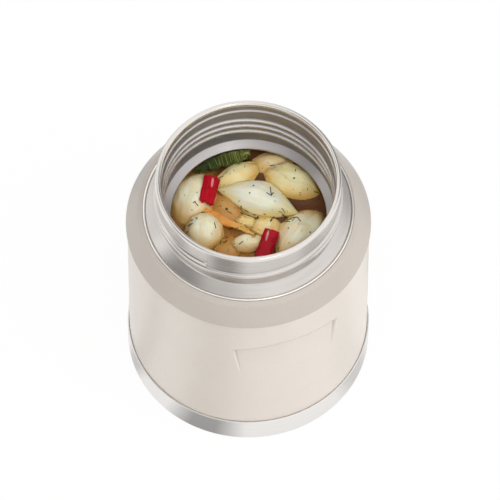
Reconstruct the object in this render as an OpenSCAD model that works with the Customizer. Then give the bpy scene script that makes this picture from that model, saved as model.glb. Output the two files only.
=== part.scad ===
// Vacuum-insulated food jar, open, filled with onions in broth.
// Two drawn steel vessels are joined at the lip. The space between them is
// evacuated through the bottom plate. The recess in the wall faces -Y, and the
// jar stands on z = 0 with its axis on Z.

/* [Mouth and neck] */
// Width of the shoulder, from the bore of the neck out to the ring's lower edge
shoulder_w = 14.8; // [14:0.1:17]
// Vacuum gap between the two walls of the neck
neck_gap = 1.15; // [0.9:0.05:1.8]
// Height of the neck, from its foot to the underside of the lip
neck_h = 18.1; // [16:0.1:24]
// Radius of the rounded lip
lip_r = 1.25; // [1.15:0.05:1.5]
// Overhang of the lip over the neck
lip_overhang = 0.4; // [0.1:0.05:0.5]
// Depth of the gasket chamfer inside the lip
gasket_relief = 0.7; // [0.4:0.05:0.8]
// Height of the gasket chamfer
gasket_h = 1.9; // [1:0.1:3]
// Height of the straight wall between the lip and the gasket chamfer
gasket_land_h = 0.6; // [0.4:0.1:1.5]
// Depth of the thread root below the neck band
root_depth = 0.35; // [0.1:0.05:0.4]
// Height of the thread root at the neck's foot
root_h = 3.8; // [2:0.1:6]
// Bend radius at the neck's foot
neck_bend_r = 0.8; // [0.4:0.1:1.5]

/* [Steel cone] */
// Width of the bare cone outside the neck
cone_w = 4.75; // [3:0.05:6]
// Rise of the bare cone up to the neck's foot
cone_h = 3.2; // [2:0.05:6]
// Radius of the polished bead round the cone
bead_r = 0.3; // [0.25:0.05:0.35]
// Gap between the bead and the shoulder ring
bead_gap = 0.35; // [0.3:0.05:0.6]

/* [Shoulder ring] */
// Diameter of the shoulder ring at its lower edge, the widest part of the jar
shoulder_d = 100; // [98:0.5:104]
// Height of the ring's lower edge above the table
shoulder_z = 92.45; // [85:0.05:110]
// Rise of the chamfer
chamfer_h = 8.75; // [7:0.05:11]
// Width of the land between the chamfer and the bead
land_w = 2.05; // [1.5:0.05:3]
// Rise of the land
land_h = 1.5; // [1:0.05:2]
// Thickness of the shoulder ring
ring_t = 0.9; // [0.8:0.05:1.1]

/* [Body wall] */
// Thickness of the outer steel sheet
outer_t = 0.6; // [0.5:0.05:0.7]
// Overhang of the shoulder ring over the body wall
ring_overhang = 0.75; // [0.4:0.05:0.8]
// Fall of the weld between wall and neck piece below the top of the wall's slope
weld_drop = 2.4; // [1:0.1:4]

/* [Recess] */
// Distance from the shoulder ring down to the recess
recess_drop = 16.65; // [8:0.05:25]
// Height of the recess, from its arched upper edge to its flush lower end
recess_h = 22.8; // [15:0.1:26]
// Width of the recess at its upper corners
recess_w = 45.4; // [30:0.2:50]
// Width of the recess at its lower end
recess_low_w = 40.2; // [26:0.2:44]
// Rise of the arched upper edge above its corners
recess_arch_h = 3.5; // [1:0.1:5]
// Depth of the recess at its upper corners
recess_depth = 1.3; // [0.6:0.05:1.8]

/* [Base] */
// Height of the brushed base cup
cup_h = 13.3; // [11:0.1:18]
// Gap between the base cup and the body wall
cup_gap = 0.15; // [0.1:0.05:0.2]
// Bend radius of the cup and of the bottom plate
cup_bend_r = 1.3; // [1:0.1:2]
// Width of the foot ring that the jar stands on
foot_w = 11; // [8:0.5:16]
// Rise of the stamped dish inside the foot ring
dish_h = 2.4; // [1.8:0.1:3]
// Gap between the dish and the vacuum bottom plate
plate_gap = 1.4; // [1:0.1:2]
// Distance from the bottom plate down to the wall's lower end
wall_foot_drop = 1; // [0.5:0.1:1.5]
// Height of the plate's flange, welded inside the body wall
flange_h = 5; // [3:0.5:7]
// Radius of the evacuation hole
vent_r = 1.5; // [1:0.1:2.5]
// Radius of the seal over the evacuation hole
seal_r = 3.2; // [3:0.1:6]
// Thickness of the seal below the plate
seal_t = 0.6; // [0.4:0.1:0.8]

/* [Inner vessel] */
// Thickness of the inner steel sheet
liner_t = 0.5; // [0.4:0.05:0.55]
// Vacuum gap between the walls of the body
wall_gap = 4.65; // [3.5:0.05:6]
// Vacuum gap between the bottom plate and the vessel's floor
floor_gap = 4.5; // [3.5:0.1:8]
// Radius of the chamber's lower corner
chamber_corner_r = 7; // [3:0.5:14]
// Radius of the chamber's shoulder
chamber_shoulder_r = 8; // [4:0.5:12]
// Fall of the chamber's shoulder below the throat
chamber_fall = 7.5; // [6:0.5:10]
// Depth of the neck's bore, from the lip's underside to the ledge
bore_depth = 25.35; // [24:0.05:28]
// Width of the ledge
ledge_w = 3.45; // [3:0.05:5]
// Fall of the ledge towards the throat
ledge_fall = 1.65; // [1.2:0.05:2]
// Height of the throat's edge
throat_h = 0.9; // [0.8:0.05:1.2]

/* [Vacuum parts] */
// Thickness of the radiation shield
shield_t = 0.15; // [0.1:0.05:0.3]
// Distance from the shield's edges to the bends of the chamber
shield_margin = 1.5; // [0.5:0.5:6]
// Radius of the getter pill
getter_r = 4.2; // [3:0.1:6]
// Thickness of the getter pill
getter_h = 1.3; // [0.8:0.1:1.8]
// Thickness of the getter holder's sheet
holder_t = 0.2; // [0.15:0.05:0.3]
// Width of the holder's flange
holder_flange_w = 1.8; // [1:0.1:3]

/* [Food] */
// Fall of the broth's surface below the throat's edge
broth_drop = 4.9; // [3:0.1:6]
// Gap that keeps neighbouring pieces of food apart
food_gap = 0.2; // [0.1:0.05:0.4]
// Thickness of the pepper's flesh
pepper_t = 2.4; // [1.5:0.1:3]
// Width of a pepper piece
pepper_w = 6.7; // [5:0.1:8]
// Thickness of a carrot strip
carrot_t = 1.8; // [1.4:0.1:2.4]
// Thickness of the leek leaf
leaf_t = 1.4; // [0.8:0.1:2]
// Width of the leek leaf across the jar
leaf_w = 20; // [12:0.5:22]

/* [Hidden] */
$fn = 96;
BEND_STEPS = 6;
ONION_STEPS = 12;
PAST = 1;

shoulder_r = shoulder_d / 2;
mouth_r = shoulder_r - shoulder_w;
neck_r = mouth_r + liner_t + neck_gap + outer_t;
cone_r = neck_r + cone_w;
bead_mid_r = cone_r + bead_r;
crease_r = cone_r + 2 * bead_r + bead_gap + land_w;
body_r = shoulder_r - ring_overhang;
cup_r = body_r + cup_gap + outer_t;
chamber_r = body_r - outer_t - wall_gap - liner_t;
throat_r = mouth_r - ledge_w;

ring_top_z = shoulder_z + chamfer_h + land_h;
cone_top_z = ring_top_z + cone_h;
lip_foot_z = cone_top_z + neck_h;
ledge_z = lip_foot_z - bore_depth;
throat_top_z = ledge_z - ledge_fall;
throat_z = throat_top_z - throat_h;
broth_z = throat_z - broth_drop;
plate_z = dish_h + outer_t + plate_gap;
floor_z = plate_z + outer_t + floor_gap + liner_t;
recess_top_z = shoulder_z - recess_drop;
recess_corner_z = recess_top_z - recess_arch_h;
recess_low_z = recess_top_z - recess_h;

// The lip is a round bar cut flat where it sits on the neck
lip_mid_r = neck_r + lip_overhang - lip_r;
lip_mid_z = lip_foot_z + 0.6 * lip_r;

// ---- outlines of bent sheet, as [radius, height] points ----

function unit(v) = v / norm(v);
function left(v) = [-v.y, v.x];
function turn(from, to) = ((to - from) % 360 + 540) % 360 - 180;
function heading(v) = atan2(v.y, v.x);

// Arc that rounds the corner b of the path a, b, c
function bend(a, b, c, r) =
    let (
        back = unit(a - b),
        ahead = unit(c - b),
        half = acos(back * ahead) / 2,
        centre = b + unit(back + ahead) * r / sin(half),
        start = heading(b + back * r / tan(half) - centre),
        sweep = turn(start, heading(b + ahead * r / tan(half) - centre))
    )
    [for (i = [0 : BEND_STEPS]) centre + r * [cos(start + sweep * i / BEND_STEPS), sin(start + sweep * i / BEND_STEPS)]];

function xy(p) = [p.x, p.y];

// A path of [radius, height, bend radius] corners with its bends rounded
function bent(path) =
    [for (i = [0 : len(path) - 1])
        each path[i].z == 0 ? [xy(path[i])] : bend(xy(path[i - 1]), xy(path[i]), xy(path[i + 1]), path[i].z)];

// The same path moved sideways by t, to the left of its direction
function beside(path, t) =
    let (last = len(path) - 1)
    [for (i = [0 : last])
        let (
            before = left(unit(path[max(i, 1)] - path[max(i, 1) - 1])),
            after = left(unit(path[min(i, last - 1) + 1] - path[min(i, last - 1)])),
            middle = unit(before + after)
        )
        path[i] + middle * t / (middle * before)];

function reversed(path) = [for (i = [len(path) - 1 : -1 : 0]) path[i]];

// A revolved sheet of thickness t, on the left side of its face
module revolved_sheet(face, t) {
    rotate_extrude() polygon(concat(face, reversed(beside(face, t))));
}

// Points of the line a, b at height z and at radius r
function at_height(a, b, z) = a + (b - a) * (z - a.y) / (b.y - a.y);
function at_radius(a, b, r) = a + (b - a) * (r - a.x) / (b.x - a.x);

// ---- faces that several pieces share ----

// Outer face of the shoulder ring, from its lower edge inwards
ring_face = [
    [shoulder_r, shoulder_z],
    [crease_r, shoulder_z + chamfer_h],
    [crease_r - land_w, ring_top_z]
];
// The seat under the ring, which the wall and the neck piece follow
seat = beside(ring_face, ring_t);
seat_foot = at_radius(seat[0], seat[1], body_r);
weld = at_height(seat[0], seat[1], seat[1].y - weld_drop);

// Cavity face of the inner vessel, from the lip down to the middle of the floor
vessel_face = bent([
    [mouth_r + gasket_relief, lip_mid_z, 0],
    [mouth_r + gasket_relief, lip_foot_z - gasket_land_h, 0],
    [mouth_r, lip_foot_z - gasket_land_h - gasket_h, 0],
    [mouth_r, ledge_z, 0],
    [throat_r, throat_top_z, 0],
    [throat_r, throat_z, 0],
    [chamber_r, throat_z - chamber_fall, chamber_shoulder_r],
    [chamber_r, floor_z, chamber_corner_r],
    [0, floor_z, 0]
]);

// ---- steel vessel ----

module lip() {
    rotate_extrude() intersection() {
        translate([lip_mid_r, lip_mid_z]) circle(r = lip_r);
        translate([lip_mid_r - 2 * lip_r, lip_foot_z]) square([4 * lip_r, 3 * lip_r]);
    }
}

module inner_vessel() {
    color("silver") {
        revolved_sheet(vessel_face, liner_t);
        lip();
    }
}

module outer_neck() {
    foot_r = neck_r - root_depth;
    root_top_z = cone_top_z + root_h;
    knee = at_radius(seat[1], seat[2], bead_mid_r);
    bead_z = ring_top_z - bead_r;
    color("lightgray") {
        revolved_sheet(bent([
            [weld.x, weld.y, 0],
            [seat[1].x, seat[1].y, 0],
            [knee.x, knee.y, 0],
            [cone_r - bead_r, ring_top_z, 0],
            [foot_r, cone_top_z, neck_bend_r],
            [foot_r, root_top_z, 0],
            [neck_r, root_top_z + 2 * root_depth, 0],
            [neck_r, lip_foot_z, 0]
        ]), outer_t);
        // The bead stands on a short web that joins it to the cone
        rotate_extrude() {
            translate([bead_mid_r, bead_z]) circle(r = bead_r);
            translate([bead_mid_r - bead_r, knee.y - outer_t / 2]) square([bead_r, bead_z - knee.y + outer_t / 2]);
        }
    }
}

module shoulder_ring() {
    color("tan") revolved_sheet(ring_face, ring_t);
}

// Outline of the recess seen from the front, with a margin all round
module recess_outline(margin) {
    arch_r = (recess_w * recess_w / 4 + recess_arch_h * recess_arch_h) / (2 * recess_arch_h) + margin;
    slope = (recess_w - recess_low_w) / (2 * (recess_corner_z - recess_low_z));
    low = recess_low_w / 2 + margin;
    rise = recess_h + margin;
    intersection() {
        polygon([
            [-low, recess_low_z],
            [low, recess_low_z],
            [low + slope * rise, recess_low_z + rise],
            [-low - slope * rise, recess_low_z + rise]
        ]);
        translate([0, recess_top_z + margin - arch_r]) circle(r = arch_r);
    }
}

// Ring between the sloping floor of the recess, sunk by extra, and the radius outside
module recess_ring(extra, outside) {
    top_z = recess_top_z + outer_t + PAST;
    top_depth = recess_depth * (top_z - recess_low_z) / (recess_corner_z - recess_low_z);
    rotate_extrude() polygon([
        [body_r - extra, recess_low_z],
        [outside, recess_low_z],
        [outside, top_z],
        [body_r - extra - top_depth, top_z]
    ]);
}

module pressed(margin, extra, outside) {
    intersection() {
        rotate([90, 0, 0]) linear_extrude(shoulder_r) recess_outline(margin);
        recess_ring(extra, outside);
    }
}

module body_shell() {
    color("tan") difference() {
        union() {
            revolved_sheet([
                [body_r, plate_z - wall_foot_drop],
                seat_foot,
                weld
            ], outer_t);
            pressed(outer_t, outer_t, body_r - outer_t / 2);
        }
        pressed(0, 0, body_r + PAST);
    }
}

module base_cup() {
    color("gainsboro") revolved_sheet(bent([
        [0, dish_h, 0],
        [cup_r - foot_w - dish_h, dish_h, cup_bend_r],
        [cup_r - foot_w, 0, cup_bend_r],
        [cup_r, 0, cup_bend_r],
        [cup_r, cup_h, 0]
    ]), outer_t);
}

module vacuum_bottom() {
    wall_r = body_r - outer_t;
    color("darkgray") revolved_sheet(bent([
        [vent_r, plate_z, 0],
        [wall_r, plate_z, cup_bend_r],
        [wall_r, plate_z + flange_h, 0]
    ]), outer_t);
}

module vacuum_seal() {
    color("dimgray") {
        translate([0, 0, plate_z - seal_t]) cylinder(r = seal_r, h = seal_t);
        translate([0, 0, plate_z - seal_t]) cylinder(r = vent_r, h = seal_t + outer_t);
    }
}

module radiation_shield() {
    inside_r = chamber_r + liner_t;
    shoulder = [throat_r - chamber_r, chamber_fall];
    shoulder_half = acos(unit(shoulder) * [0, -1]) / 2;
    low_z = floor_z + chamber_corner_r + shield_margin;
    high_z = throat_z - chamber_fall - chamber_shoulder_r / tan(shoulder_half) - shield_margin;
    color("peru") translate([0, 0, low_z]) difference() {
        cylinder(r = inside_r + shield_t, h = high_z - low_z);
        translate([0, 0, -PAST]) cylinder(r = inside_r, h = high_z - low_z + 2 * PAST);
    }
}

// Height of the vessel's underside, which carries the getter
underside_z = floor_z - liner_t;

module getter_holder() {
    well_r = getter_r + holder_t;
    low_z = underside_z - getter_h - 2 * holder_t;
    color("gray") revolved_sheet([
        [0, low_z],
        [well_r, low_z],
        [well_r, underside_z - holder_t],
        [well_r + holder_flange_w, underside_z - holder_t]
    ], holder_t);
}

module getter_pill() {
    color("black") translate([0, 0, underside_z - getter_h - holder_t])
        cylinder(r = getter_r, h = getter_h);
}

// ---- food ----

// The food is laid out in millimetres for this throat, and grows with it
food_unit = throat_r / 31.75;

// Everything inside the vessel below height z
module inside_vessel(z) {
    intersection() {
        rotate_extrude() polygon(concat([[0, lip_mid_z]], vessel_face));
        cylinder(r = chamber_r + PAST, h = z);
    }
}

// Onion lying along X, round in the middle and drawn out to a tip at each end
module onion_body(length, girth, fullness) {
    rotate([0, 90, 0]) rotate_extrude() polygon([
        for (i = [0 : ONION_STEPS])
            [girth / 2 * pow(sin(180 * i / ONION_STEPS), fullness), length * (i / ONION_STEPS - 0.5)]
    ]);
}

// Puts a piece with its middle at [x, y], raised above the broth and turned about Z
module placed(at, raised, angle, tilt = 0) {
    translate([at.x, at.y, 0] * food_unit + [0, 0, broth_z + raised * food_unit]) rotate([0, tilt, angle]) children();
}

// Each onion: middle, height above the broth, direction, length, girth, fullness
hero_onion = [[7.6, 8.5], -1.3, -39, 35.2, 17.2, 1.1];
back_onion = [[3.4, 22], 0.3, 4, 25, 11, 0.8];
right_onion = [[22.4, 12.8], -1.7, -49, 27, 16.6, 0.65];
left_onion = [[-17.4, 19.4], -1.7, 53, 26, 16.4, 0.65];
low_left_onion = [[-18.6, 1.9], -0.6, 62, 18, 15.6, 0.55];
low_right_onion = [[18.8, -11.6], -1.1, 30, 25.5, 16.8, 0.65];
small_onion = [[-6, -9.2], 1.7, -8, 13, 7, 0.6];

module onion(o, extra = 0) {
    placed(o[0], o[1], o[2]) onion_body(o[3] * food_unit + 2 * extra, o[4] * food_unit + 2 * extra, o[5]);
}

// Slice of pepper flesh lying along X, curved across its width
module pepper_body(length, extra = 0) {
    curve_r = pepper_w * 0.75;
    translate([0, 0, -curve_r]) rotate([90, 0, 90]) translate([0, 0, -length / 2 - extra])
        linear_extrude(length + 2 * extra) intersection() {
            difference() {
                circle(r = curve_r + extra);
                circle(r = curve_r - pepper_t - extra);
            }
            translate([-pepper_w / 2 - extra, 0]) square([pepper_w + 2 * extra, 2 * curve_r]);
        }
}

// Tapered carrot strip lying along X, given by its length and the width of its two ends
module carrot_body(size, extra = 0) {
    half = size / 2 + [extra, extra, extra];
    translate([0, 0, -carrot_t / 2 - extra]) linear_extrude(carrot_t + 2 * extra) polygon([
        [-half[0], -half[1]],
        [half[0], -half[2]],
        [half[0], half[2]],
        [-half[0], half[1]]
    ]);
}

// Leek leaf lying against the back of the throat, out of the broth
module leaf(extra = 0) {
    outer_end = [throat_r, throat_z] + [-1, 0.6] * food_unit;
    inner_end = [throat_r, broth_z] + [-7, 3.9] * food_unit;
    along = unit(outer_end - inner_end) * extra;
    intersection() {
        rotate_extrude() polygon(concat(
            beside([inner_end - along, outer_end + along], leaf_t + extra),
            reversed(beside([inner_end - along, outer_end + along], -extra))
        ));
        translate([-leaf_w / 2 - extra, 0, 0]) cube([leaf_w + 2 * extra, chamber_r, lip_foot_z]);
    }
}

// The pieces in the order in which they lie, from the top one down
PEPPER_LEFT = 0;
PEPPER_RIGHT = 1;
CARROT_SHORT = 2;
CARROT_LONG = 3;
LEAF = 4;
HERO = 5;
LOW_LEFT = 6;
SMALL = 7;
BACK = 8;
LOW_RIGHT = 9;
LEFT = 10;
RIGHT = 11;

// A whole piece, grown by extra
module food(piece, extra = 0) {
    if (piece == PEPPER_LEFT) placed([-9.8, 18.4], 4.9, -121, -4) pepper_body(12.4 * food_unit, extra);
    if (piece == PEPPER_RIGHT) placed([2.6, -14.6], 5.2, 51, -6) pepper_body(14 * food_unit, extra);
    if (piece == CARROT_SHORT) placed([-13.3, 8.6], 2.1, -42, 3) carrot_body([9, 2.6, 1.8] * food_unit, extra);
    if (piece == CARROT_LONG) placed([-6.1, -1.8], 3.9, -54, -11) carrot_body([17.6, 3, 1.2] * food_unit, extra);
    if (piece == LEAF) leaf(extra);
    if (piece == HERO) onion(hero_onion, extra);
    if (piece == LOW_LEFT) onion(low_left_onion, extra);
    if (piece == SMALL) onion(small_onion, extra);
    if (piece == BACK) onion(back_onion, extra);
    if (piece == LOW_RIGHT) onion(low_right_onion, extra);
    if (piece == LEFT) onion(left_onion, extra);
    if (piece == RIGHT) onion(right_onion, extra);
}

// A piece with the dents that the pieces on top of it leave in it
module dented(piece, above) {
    intersection() {
        difference() {
            food(piece);
            for (other = above) food(other, food_gap);
        }
        inside_vessel(lip_foot_z);
    }
}

module pepper_left() {
    color("crimson") food(PEPPER_LEFT);
}

module pepper_right() {
    color("crimson") food(PEPPER_RIGHT);
}

module carrot_short() {
    color("orange") food(CARROT_SHORT);
}

module carrot_long() {
    color("orange") food(CARROT_LONG);
}

module leek_leaf() {
    color("darkgreen") food(LEAF);
}

module onion_hero() {
    color("wheat") dented(HERO, [PEPPER_LEFT, PEPPER_RIGHT, CARROT_LONG]);
}

module onion_low_left() {
    color("wheat") dented(LOW_LEFT, [CARROT_SHORT, CARROT_LONG, HERO]);
}

module onion_small() {
    color("wheat") dented(SMALL, [PEPPER_RIGHT, CARROT_LONG, HERO, LOW_LEFT]);
}

module onion_back() {
    color("khaki") dented(BACK, [PEPPER_LEFT, LEAF, HERO]);
}

module onion_low_right() {
    color("wheat") dented(LOW_RIGHT, [PEPPER_RIGHT, HERO, SMALL]);
}

module onion_left() {
    color("wheat") dented(LEFT, [PEPPER_LEFT, CARROT_SHORT, LEAF, HERO, LOW_LEFT, BACK]);
}

module onion_right() {
    color("khaki") dented(RIGHT, [LEAF, HERO, BACK, LOW_RIGHT]);
}

module broth() {
    color("goldenrod") difference() {
        inside_vessel(broth_z);
        for (piece = [PEPPER_LEFT : RIGHT]) food(piece);
    }
}

inner_vessel();
outer_neck();
shoulder_ring();
body_shell();
base_cup();
vacuum_bottom();
vacuum_seal();
radiation_shield();
getter_holder();
getter_pill();
broth();
onion_hero();
onion_back();
onion_right();
onion_left();
onion_low_left();
onion_low_right();
onion_small();
pepper_left();
pepper_right();
carrot_short();
carrot_long();
leek_leaf();
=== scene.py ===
"""Looks of an open insulated food jar that is filled with onions in broth.

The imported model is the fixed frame. Each sub-assembly is a class that holds its sizes in millimetres,
builds its meshes round the jar's axis with bmesh operators, and dresses them. The recess in the wall
faces -Y.
"""

import logging
import math
import random
from dataclasses import dataclass, field
from enum import Enum
from typing import Any, Callable, Sequence

import bmesh
import bpy
from mathutils import Euler, Matrix, Vector, noise
from mathutils.bvhtree import BVHTree


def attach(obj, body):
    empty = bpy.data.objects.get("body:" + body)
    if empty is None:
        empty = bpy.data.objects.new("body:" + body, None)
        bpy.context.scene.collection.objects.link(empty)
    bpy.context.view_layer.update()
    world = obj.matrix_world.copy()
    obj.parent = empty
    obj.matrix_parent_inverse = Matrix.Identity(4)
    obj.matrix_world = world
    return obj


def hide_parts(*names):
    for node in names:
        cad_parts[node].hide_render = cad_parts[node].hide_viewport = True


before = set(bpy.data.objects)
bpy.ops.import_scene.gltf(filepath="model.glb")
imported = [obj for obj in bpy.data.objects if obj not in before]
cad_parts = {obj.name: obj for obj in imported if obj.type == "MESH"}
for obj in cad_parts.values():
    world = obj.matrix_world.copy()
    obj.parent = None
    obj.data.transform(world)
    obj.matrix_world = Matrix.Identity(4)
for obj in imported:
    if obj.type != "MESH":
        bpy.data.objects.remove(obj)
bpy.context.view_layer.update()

log = logging.getLogger("food_jar")

MM = 0.001
BODY = "root"
MERGE = 1e-6
# How close, in millimetres, a point has to be to a wall's radius to count as on it.
NEAR = 0.02
SHARP = math.radians(38)
# Width and height of the camera's frame, in pixels.
FRAME = 500

Colour = tuple[float, float, float, float]
Socket = bpy.types.NodeSocket
Hit = tuple[Vector, Vector]


def shade(red: int, green: int, blue: int) -> Colour:
    """Turns a screen colour into the linear one that a shader takes.

    Args:
        red: Red from 0 to 255.
        green: Green from 0 to 255.
        blue: Blue from 0 to 255.

    Returns:
        The linear colour, opaque.
    """

    def linear(value: int) -> float:
        """Undoes the screen's curve for one channel."""
        part = value / 255
        return part / 12.92 if part <= 0.04045 else ((part + 0.055) / 1.055) ** 2.4

    return (linear(red), linear(green), linear(blue), 1.0)


def smooth(low: float, high: float, value: float) -> float:
    """Rises from 0 at low to 1 at high, level at both ends."""
    part = min(max((value - low) / (high - low), 0.0), 1.0)
    return part * part * (3 - 2 * part)


def towards(azimuth: float, elevation: float) -> Vector:
    """The direction from the jar to an azimuth and an elevation in degrees."""
    turn, rise = math.radians(azimuth), math.radians(elevation)
    return Vector((math.cos(turn) * math.cos(rise), math.sin(turn) * math.cos(rise), math.sin(rise)))


def angle_of(place: Vector) -> float:
    """The angle of a place round the jar's axis, in degrees."""
    return math.degrees(math.atan2(place.y, place.x))


# ---- finishes ------------------------------------------------------------------------------------


class Tree:
    """A node tree with short calls to add and join its nodes."""

    def __init__(self, tree: bpy.types.NodeTree) -> None:
        """Starts from an empty tree."""
        self.tree = tree
        self.tree.nodes.clear()

    def add(self, kind: str, inputs: dict[Any, Any] | None = None, **settings: Any) -> bpy.types.Node:
        """Adds a node.

        Args:
            kind: The node's type, without the words ShaderNode.
            inputs: A value or another node's socket for each input, by name or number.
            settings: The node's own settings.

        Returns:
            The new node.
        """
        node = self.tree.nodes.new("ShaderNode" + kind)
        for name, value in settings.items():
            setattr(node, name, value)
        for name, value in (inputs or {}).items():
            self.put(node.inputs[name], value)
        return node

    def put(self, socket: bpy.types.NodeSocket, value: Any) -> None:
        """Gives an input a value, or joins another node's output to it."""
        if isinstance(value, bpy.types.NodeSocket):
            self.tree.links.new(value, socket)
        else:
            socket.default_value = value

    def math(self, operation: str, *values: Any) -> Socket:
        """Adds a Math node and returns its result."""
        return self.add("Math", dict(enumerate(values)), operation=operation).outputs[0]

    def times(self, first: Any, second: Any) -> Socket:
        """Multiplies two values and returns the result."""
        return self.math("MULTIPLY", first, second)

    def split(self, vector: Any) -> Sequence[Socket]:
        """Splits a vector into its three parts."""
        return self.add("SeparateXYZ", {0: vector}).outputs

    def join(self, x: Any, y: Any, z: Any) -> Socket:
        """Joins three values to a vector."""
        return self.add("CombineXYZ", {0: x, 1: y, 2: z}).outputs[0]

    def attribute(self, name: str, output: str = "Fac") -> Socket:
        """Reads an attribute that the mesh carries."""
        return self.add("Attribute", attribute_name=name).outputs[output]

    def mix(self, factor: Any, first: Any, second: Any) -> Socket:
        """Mixes two colours and returns the result."""
        node = self.add("Mix", {0: factor, 6: first, 7: second}, data_type="RGBA")
        return node.outputs[2]

    def ramp(self, value: Any, low: float, high: float, start: Any = 0.0, end: Any = 1.0) -> Socket:
        """Maps a value from low..high to start..end without passing them, and returns the result."""
        return self.add("MapRange", {0: value, 1: low, 2: high, 3: start, 4: end}, clamp=True).outputs[0]

    def effect(self, group: bpy.types.NodeTree, **inputs: Any) -> bpy.types.Node:
        """Places a shared effect and sets its inputs."""
        node = self.add("Group", node_tree=group)
        for name, value in inputs.items():
            self.put(node.inputs[name], value)
        return node


class Recipe(Tree):
    """One material round one Principled shader."""

    def __init__(self, name: str, **sockets: Any) -> None:
        """Makes the material.

        Args:
            name: The material's name.
            sockets: Values of the shader's own inputs, with _ for a blank.
        """
        self.material = bpy.data.materials.new(name)
        self.material.use_nodes = True
        super().__init__(self.material.node_tree)
        self.shader = self.add("BsdfPrincipled")
        self.add("OutputMaterial", {"Surface": self.shader.outputs[0]})
        for socket, value in sockets.items():
            self.set(socket, value)

    def set(self, socket: str, value: Any) -> None:
        """Sets or joins one of the shader's inputs."""
        self.put(self.shader.inputs[socket.replace("_", " ")], value)

    def bump(self, height: Any, distance: float, strength: float = 1.0) -> None:
        """Raises the surface by a height in millimetres."""
        node = self.add("Bump", {"Strength": strength, "Distance": distance * MM, "Height": height})
        self.set("Normal", node.outputs[0])

    def here(self) -> Socket:
        """The point's place in the object's own frame."""
        return self.add("TexCoord").outputs["Object"]

    def clouded(
        self, effects: "Effects", place: Socket, density: float, base: Any, patch: Any, amount: float = 1.0
    ) -> Socket:
        """Mixes slow patches of one colour into another.

        Args:
            effects: The shared effects.
            place: The point's place.
            density: How many patches a metre holds.
            base: The colour between the patches.
            patch: The patches' colour.
            amount: Strength of the patches, up to 1.

        Returns:
            The mixed colour.
        """
        inputs = {"Density": density, "Base": base, "Patch": patch, "Amount": amount}
        return self.effect(effects.clouds, Place=place, **inputs).outputs["Color"]

    def roughen(self, value: Any, low: float, high: float) -> None:
        """Lets the roughness follow a value from 0 to 1."""
        self.set("Roughness", self.ramp(value, 0.0, 1.0, low, high))


class Effect(Tree):
    """A shared node group with named inputs and outputs."""

    def __init__(self, name: str, inputs: dict[str, float | str], outputs: dict[str, str]) -> None:
        """Makes the group's sockets.

        Args:
            name: The group's name.
            inputs: Each input's default number, or the word Vector or Color.
            outputs: Each output's type, Float, Vector or Color.
        """
        self.group = bpy.data.node_groups.new(name, "ShaderNodeTree")
        for title, value in inputs.items():
            kind = value if isinstance(value, str) else "Float"
            socket = self.group.interface.new_socket(title, in_out="INPUT", socket_type="NodeSocket" + kind)
            if not isinstance(value, str):
                socket.default_value = value
        for title, kind in outputs.items():
            self.group.interface.new_socket(title, in_out="OUTPUT", socket_type="NodeSocket" + kind)
        super().__init__(self.group)
        self.given = self.tree.nodes.new("NodeGroupInput").outputs
        self.results = self.tree.nodes.new("NodeGroupOutput").inputs

    def noise(self, place: Any, scale: Any, detail: float = 2.0, roughness: float = 0.5) -> Socket:
        """Adds a noise and returns its value."""
        inputs = {"Vector": place, "Scale": scale, "Detail": detail, "Roughness": roughness}
        return self.add("TexNoise", inputs).outputs[0]


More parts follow.
